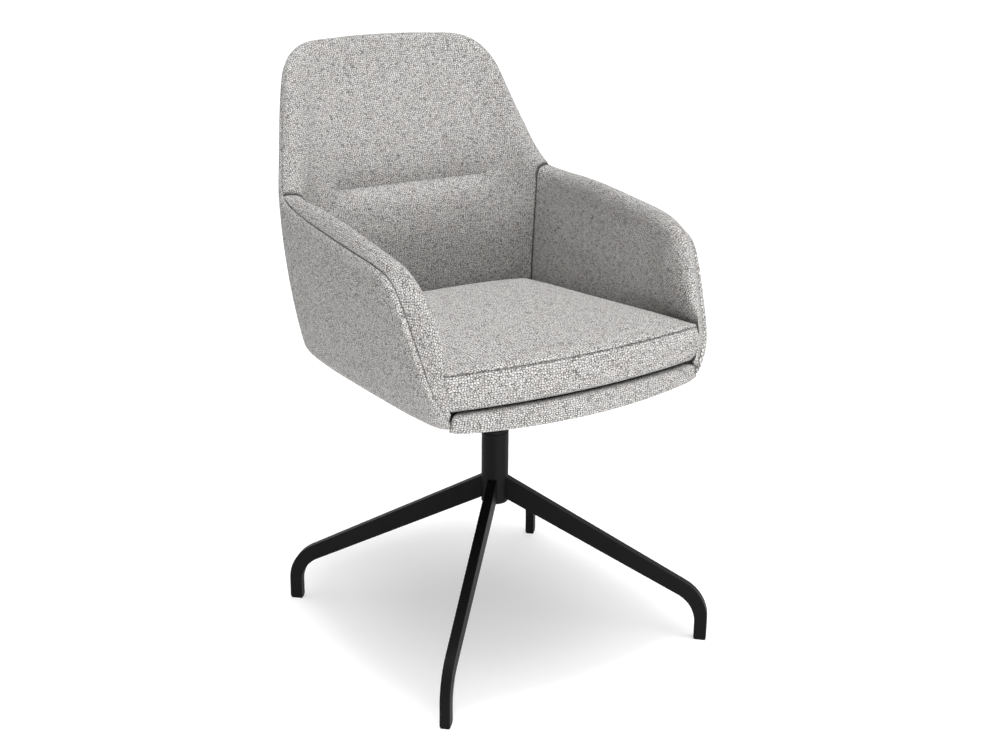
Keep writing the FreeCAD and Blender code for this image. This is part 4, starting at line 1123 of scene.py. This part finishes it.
def noise(tree, place, scale, detail):
    return node(tree, "TexNoise", {0: place, "Scale": scale, "Detail": detail}).outputs[0]


def ramp(tree, value, *stops):
    """Colour ramp from places and their colours or plain greys."""
    made = node(tree, "ValToRGB", {0: value})
    elements = made.color_ramp.elements
    while len(elements) < len(stops):
        elements.new(0.5)
    for element, (position, colour) in zip(elements, stops):
        element.position = position
        element.color = (*colour, 1.0) if isinstance(colour, tuple) else grey(colour)
    return made.outputs[0]


def grey(value):
    return (value, value, value, 1.0)


def fabric_material(name, turn, size):
    """Looped tweed: small stitches in rows, each its own grey, warmer and darker in patches."""
    material, tree = new_material(name)
    place = object_place(tree)
    weave = node(tree, "UVMap", uv_map="Weave").outputs[0]
    turned = node(tree, "Mapping", {0: weave, 2: (0, 0, math.radians(turn))}).outputs[0]
    lattice = node(tree, "Mapping", {0: turned, 3: 1 / (rows(STITCH_SIZE) * size)}).outputs[0]
    stitch, edge = (node(tree, "TexVoronoi", {0: lattice, "Scale": 1.0, "Randomness": STITCH_RANDOM},
                         voronoi_dimensions="2D", feature=feature) for feature in ("F1", "DISTANCE_TO_EDGE"))
    shade = node(tree, "SeparateXYZ", {0: stitch.outputs["Color"]}).outputs[0]
    rim = edge.outputs["Distance"]
    fibre = noise(tree, place, FIBRE_SCALE, 2.0)
    course = node(tree, "TexWave", {0: turned, "Scale": COURSE_SCALE, "Distortion": 1.5, "Detail Scale": 0.4},
                  bands_direction="Y").outputs["Fac"]
    dark = ramp(tree, noise(tree, place, SPECK_SCALE / size, 1.0), *SPECK_SHARE)
    gap = mix_colour(tree, dark, ramp(tree, rim, *GAP_PALE), ramp(tree, rim, *GAP_DARK))
    colour = ramp(tree, shade, *STITCH_TONES)
    patch = noise(tree, place, PATCH_SCALE, 3.0)
    for layer in (ramp(tree, patch, *PATCH_TONES), ramp(tree, fibre, *FIBRE_TONES),
                  ramp(tree, course, *COURSE_TONES), gap):
        colour = mix_colour(tree, 1.0, colour, layer, "MULTIPLY")
    # The seam attribute darkens the colour along the seams, and along the pleat's crease as painted shade
    seam = node(tree, "Attribute", attribute_name="seam").outputs["Fac"]
    colour = mix_colour(tree, maths(tree, "MULTIPLY", seam, SEAM_DARK), colour, grey(SEAM_TONE))
    loop = maths(tree, "MULTIPLY", maths(tree, "MINIMUM", rim, STITCH_ROUND), STITCH_HEIGHT)
    height = maths(tree, "MULTIPLY_ADD", fibre, FIBRE_HEIGHT, loop)
    inputs = {"Base Color": colour, "Roughness": 0.95, "Specular IOR Level": 0.1,
              "Sheen Weight": FABRIC_SHEEN, "Sheen Roughness": 0.45}
    return finish_material(material, inputs, (height, *FABRIC_RELIEF))


def foam_material():
    """Open-cell foam, charcoal and finely pitted."""
    material, tree = new_material("foam")
    cells = node(tree, "TexVoronoi", {0: object_place(tree), "Scale": 700.0}).outputs["Distance"]
    colour = ramp(tree, cells, (0.0, 0.02), (0.5, 0.06))
    return finish_material(material, {"Base Color": colour, "Roughness": 0.95}, (cells, 0.4, 0.0006))


def lining_material():
    """Thin black lining with a fine crossed weave."""
    material, tree = new_material("lining")
    place = object_place(tree)
    threads = []
    for angle in (0, 90):
        turned = node(tree, "Mapping", {0: place, 2: (0, 0, math.radians(angle))}).outputs[0]
        threads.append(node(tree, "TexWave", {0: turned, "Scale": 260.0, "Distortion": 0.4}).outputs["Fac"])
    weave = maths(tree, "MULTIPLY", *threads)
    colour = ramp(tree, weave, (0.0, 0.006), (0.7, 0.022))
    inputs = {"Base Color": colour, "Roughness": 0.9, "Specular IOR Level": 0.1}
    return finish_material(material, inputs, (weave, 0.4, 0.0002))


def coated_material(name, tone, roughness):
    """Matt powder coat with a fine orange-peel surface."""
    material, tree = new_material(name)
    place = object_place(tree)
    peel = noise(tree, place, 1400.0, 2.0)
    colour = ramp(tree, noise(tree, place, 22.0, 3.0), (0.3, tone * 0.85), (0.7, tone * 1.15))
    inputs = {"Base Color": colour, "Roughness": maths(tree, "MULTIPLY_ADD", peel, 0.12, roughness),
              "Specular IOR Level": 0.1}
    return finish_material(material, inputs, (peel, 0.25, 0.0002))


def metal_material(name, tone):
    """Zinc plate with faint turning marks."""
    material, tree = new_material(name)
    marks = noise(tree, object_place(tree), 300.0, 3.0)
    colour = ramp(tree, marks, (0.3, tone * 0.9), (0.7, tone * 1.05))
    rough = maths(tree, "MULTIPLY_ADD", marks, 0.2, 0.25)
    return finish_material(material, {"Base Color": colour, "Roughness": rough, "Metallic": 1.0})


def plywood_material(name, stain):
    """Beech plywood with grain along its length, darkened by a stain."""
    material, tree = new_material(name)
    stretch = node(tree, "Mapping", {0: object_place(tree), 3: (300.0, 30.0, 120.0)}).outputs[0]
    stops = [(step, tuple(part * stain for part in tone)) for step, tone in PLYWOOD_TONES]
    colour = ramp(tree, noise(tree, stretch, 1.0, 5.0), *stops)
    return finish_material(material, {"Base Color": colour, "Roughness": 0.6})


def seen_rays(tree):
    """1 for camera, glossy and transmission rays, 0 for the light that the floor and world give."""
    path = node(tree, "LightPath")
    seen = path.outputs["Is Camera Ray"]
    for ray in ("Is Glossy Ray", "Is Transmission Ray"):
        seen = maths(tree, "MAXIMUM", seen, path.outputs[ray])
    return seen


def make_floor():
    """White floor that keeps a soft shadow."""
    corners = [(x * FLOOR_HALF, y * FLOOR_HALF, 0) for x, y in ((-1, -1), (1, -1), (1, 1), (-1, 1))]
    mesh = bpy.data.meshes.new("floor")
    mesh.from_pydata(corners, [], [(0, 1, 2, 3)])
    floor = add_object("floor", mesh)
    material, tree = new_material("floor")
    seen = seen_rays(tree)
    colour = mix_colour(tree, seen, grey(FLOOR_BOUNCE), grey(FLOOR_SEEN))
    glow = maths(tree, "MULTIPLY_ADD", seen, FLOOR_GLOW - FLOOR_FILL, FLOOR_FILL)
    inputs = {"Base Color": colour, "Roughness": 0.9, "Specular IOR Level": 0.0,
              "Emission Color": grey(1.0), "Emission Strength": glow}
    mesh.materials.append(finish_material(material, inputs))


def make_world():
    """White dome, brightest overhead and at the horizon, pure white where it is seen."""
    world = bpy.data.worlds.new("studio")
    bpy.context.scene.world = world
    world.use_nodes = True
    tree = world.node_tree
    tree.nodes.clear()
    way = node(tree, "TexCoord").outputs["Generated"]
    glow = node(tree, "FloatCurve", {"Value": node(tree, "SeparateXYZ", {0: way}).outputs[2]})
    curve = glow.mapping.curves[0]
    glow.mapping.use_clip = False
    while len(curve.points) < len(DOME_GLOW):
        curve.points.new(0.5, 0.5)
    for point, place in zip(curve.points, DOME_GLOW):
        point.location = place
        point.handle_type = "VECTOR"
    glow.mapping.update()
    light, white = (node(tree, "Background", {"Color": grey(1.0), "Strength": strength}).outputs[0]
                    for strength in (glow.outputs[0], 1.0))
    shown = node(tree, "MixShader", {0: seen_rays(tree), 1: light, 2: white}).outputs[0]
    node(tree, "OutputWorld", {"Surface": shown})


def add_lamp(name, kind, place, power):
    lamp = add_object(name, bpy.data.lights.new(name, kind))
    lamp.location = place
    lamp.data.energy = power
    return lamp


def make_lamps():
    """Soft light from straight above, which draws the seat's shadow under it, and softboxes in front."""
    top = add_lamp("top_light", "SUN", (0, 0, 3), TOP_LAMP_STRENGTH)
    top.data.angle = math.radians(TOP_LAMP_SPREAD)
    for name, place, (width, height), power, tilt in SOFTBOXES:
        lamp = add_lamp(name, "AREA", place, power)
        lamp.data.shape = "RECTANGLE"
        lamp.data.size = width
        lamp.data.size_y = height
        lamp.rotation_euler = (math.radians(tilt), 0, 0)
        lamp.visible_camera = False


def make_camera():
    """Camera at the photograph's place, with its turn, tilt and small roll."""
    (sp, cp), (sr, cr), (sh, ch) = ((math.sin(math.radians(angle)), math.cos(math.radians(angle)))
                                    for angle in (CAMERA_PITCH, CAMERA_ROLL, CAMERA_HEADING))
    tilt = rows([[1, 0, 0], [0, -sp, -cp], [0, cp, -sp]])
    twist = rows([[cr, -sr, 0], [sr, cr, 0], [0, 0, 1]])
    turn = rows([[ch, -sh, 0], [sh, ch, 0], [0, 0, 1]])
    right, down, forward = twist @ tilt @ turn
    camera = add_object("camera", bpy.data.cameras.new("camera"))
    camera.data.lens = CAMERA_LENS
    camera.data.sensor_width = CAMERA_SENSOR
    matrix = np.eye(4)
    matrix[:3] = np.column_stack([right, -down, -forward, CAMERA_PLACE])
    camera.matrix_world = Matrix(matrix.tolist())
    bpy.context.scene.camera = camera


def make_upholstery():
    """The cloth pieces, each riding on the seat in place of its plain solid."""
    wall, coarse, knots, at, marks = make_wall()
    arm_last = len(ARM_WALL) - 1
    back_last = arm_last + 2 * (len(BACK_WALL) - 1)
    fabric, seat_fabric, slanted = (fabric_material(*row) for row in FABRICS)
    dress(make_cover(wall, knots, at), slanted, "upholstery", "outer_cover")
    arm = wall.part(0, marks[1])
    arm_at = at[:marks[1] + 1]
    arm_knots = knots[:arm_last + 1]
    back = wall.part(marks[1], marks[2])
    back_at = at[marks[1]:marks[2] + 1]
    back_knots = knots[arm_last:back_last + 1]
    arm_points, _ = pad_grid(arm, arm_controls(coarse.part(0, arm_last)), arm_knots, arm_at,
                             ARM_ROWS, ARM_SMOOTHING)
    back_points, below = pad_grid(back, back_controls(coarse.part(arm_last, back_last)), back_knots, back_at,
                                  BACK_ROWS, BACK_SMOOTHING, PLEAT_MARK)
    joint = meet(arm_points[-1], back_points[0])
    arm_points = pull_end(arm_points, -1, joint, JOINT_REACH)
    back_points = pull_end(back_points, 0, joint, JOINT_REACH)
    back_points = pull_end(back_points, -1, lambda share: joint(share) * rows([-1, 1, 1]), JOINT_REACH)
    arm_points, line = sew(arm_points, along(arm_points), end_runs(arm_points))
    arm_points = clear_cushion(arm_points)
    shares = np.clip(np.interp(arm_at, arm_knots, rows(ARM_PAD)[:, 4]), 0, 1)
    for hand, side in (("right", 1), ("left", -1)):
        pad = finish_pad("arm_panel_" + hand, arm, arm_points, line, shares, -1, side,
                         method="MINIMUM_STRETCH", iterations=UNFOLD_TURNS)
        dress(pad, fabric, "upholstery", "arm_pad_" + hand)
    back_points, crease_painted_shade = pleat(back_points, below)
    back_points, line = sew(back_points, along(back_points), end_runs(back_points))
    # The pleat's crease gets its painted shade through the seam line
    line = np.maximum(line, crease_painted_shade)
    pad = finish_pad("back_panel", back, back_points, line, np.ones(len(back_points)),
                     len(back_points) // 2, 1, method="CONFORMAL")
    dress(pad, fabric, "upholstery", "back_pad")
    cushion = make_cushion()
    puff(cushion, CUSHION_CAP)
    dress(cushion, seat_fabric, "upholstery", "seat_cushion")
    dress(make_rail(coarse), fabric, "upholstery", "front_rail")
    dress(make_deck(), foam_material(), "foam", "seat_deck")
    lining, area = make_lining()
    dress(lining, lining_material(), "lining", "dust_cover")


def paint_nodes():
    """Paint each CAD node by how its name starts, and the fasteners with zinc."""
    finishes = (
        (coated_material("black_coat", 0.0035, 0.45), ("leg_", "column_tube", "swivel_collar", "seat_plate")),
        (coated_material("black_nylon", 0.005, 0.5), ("glide_", "column_cap")),
        (coated_material("bearing_nylon", 0.012, 0.4), ("lower_bush", "upper_bush", "thrust_washer")),
        (plywood_material("plywood", 1.0), ("side_board_", "back_board")),
        (plywood_material("stained_plywood", 0.03), ("seat_board",)),
        (metal_material("zinc_plate", 0.6), ("",)),
    )
    for name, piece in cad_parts.items():
        piece.data.materials.clear()
        piece.data.materials.append(next(finish for finish, starts in finishes if name.startswith(starts)))


paint_nodes()
make_upholstery()
make_floor()
make_world()
make_lamps()
make_camera()
bpy.context.scene.view_settings.view_transform = "Standard"
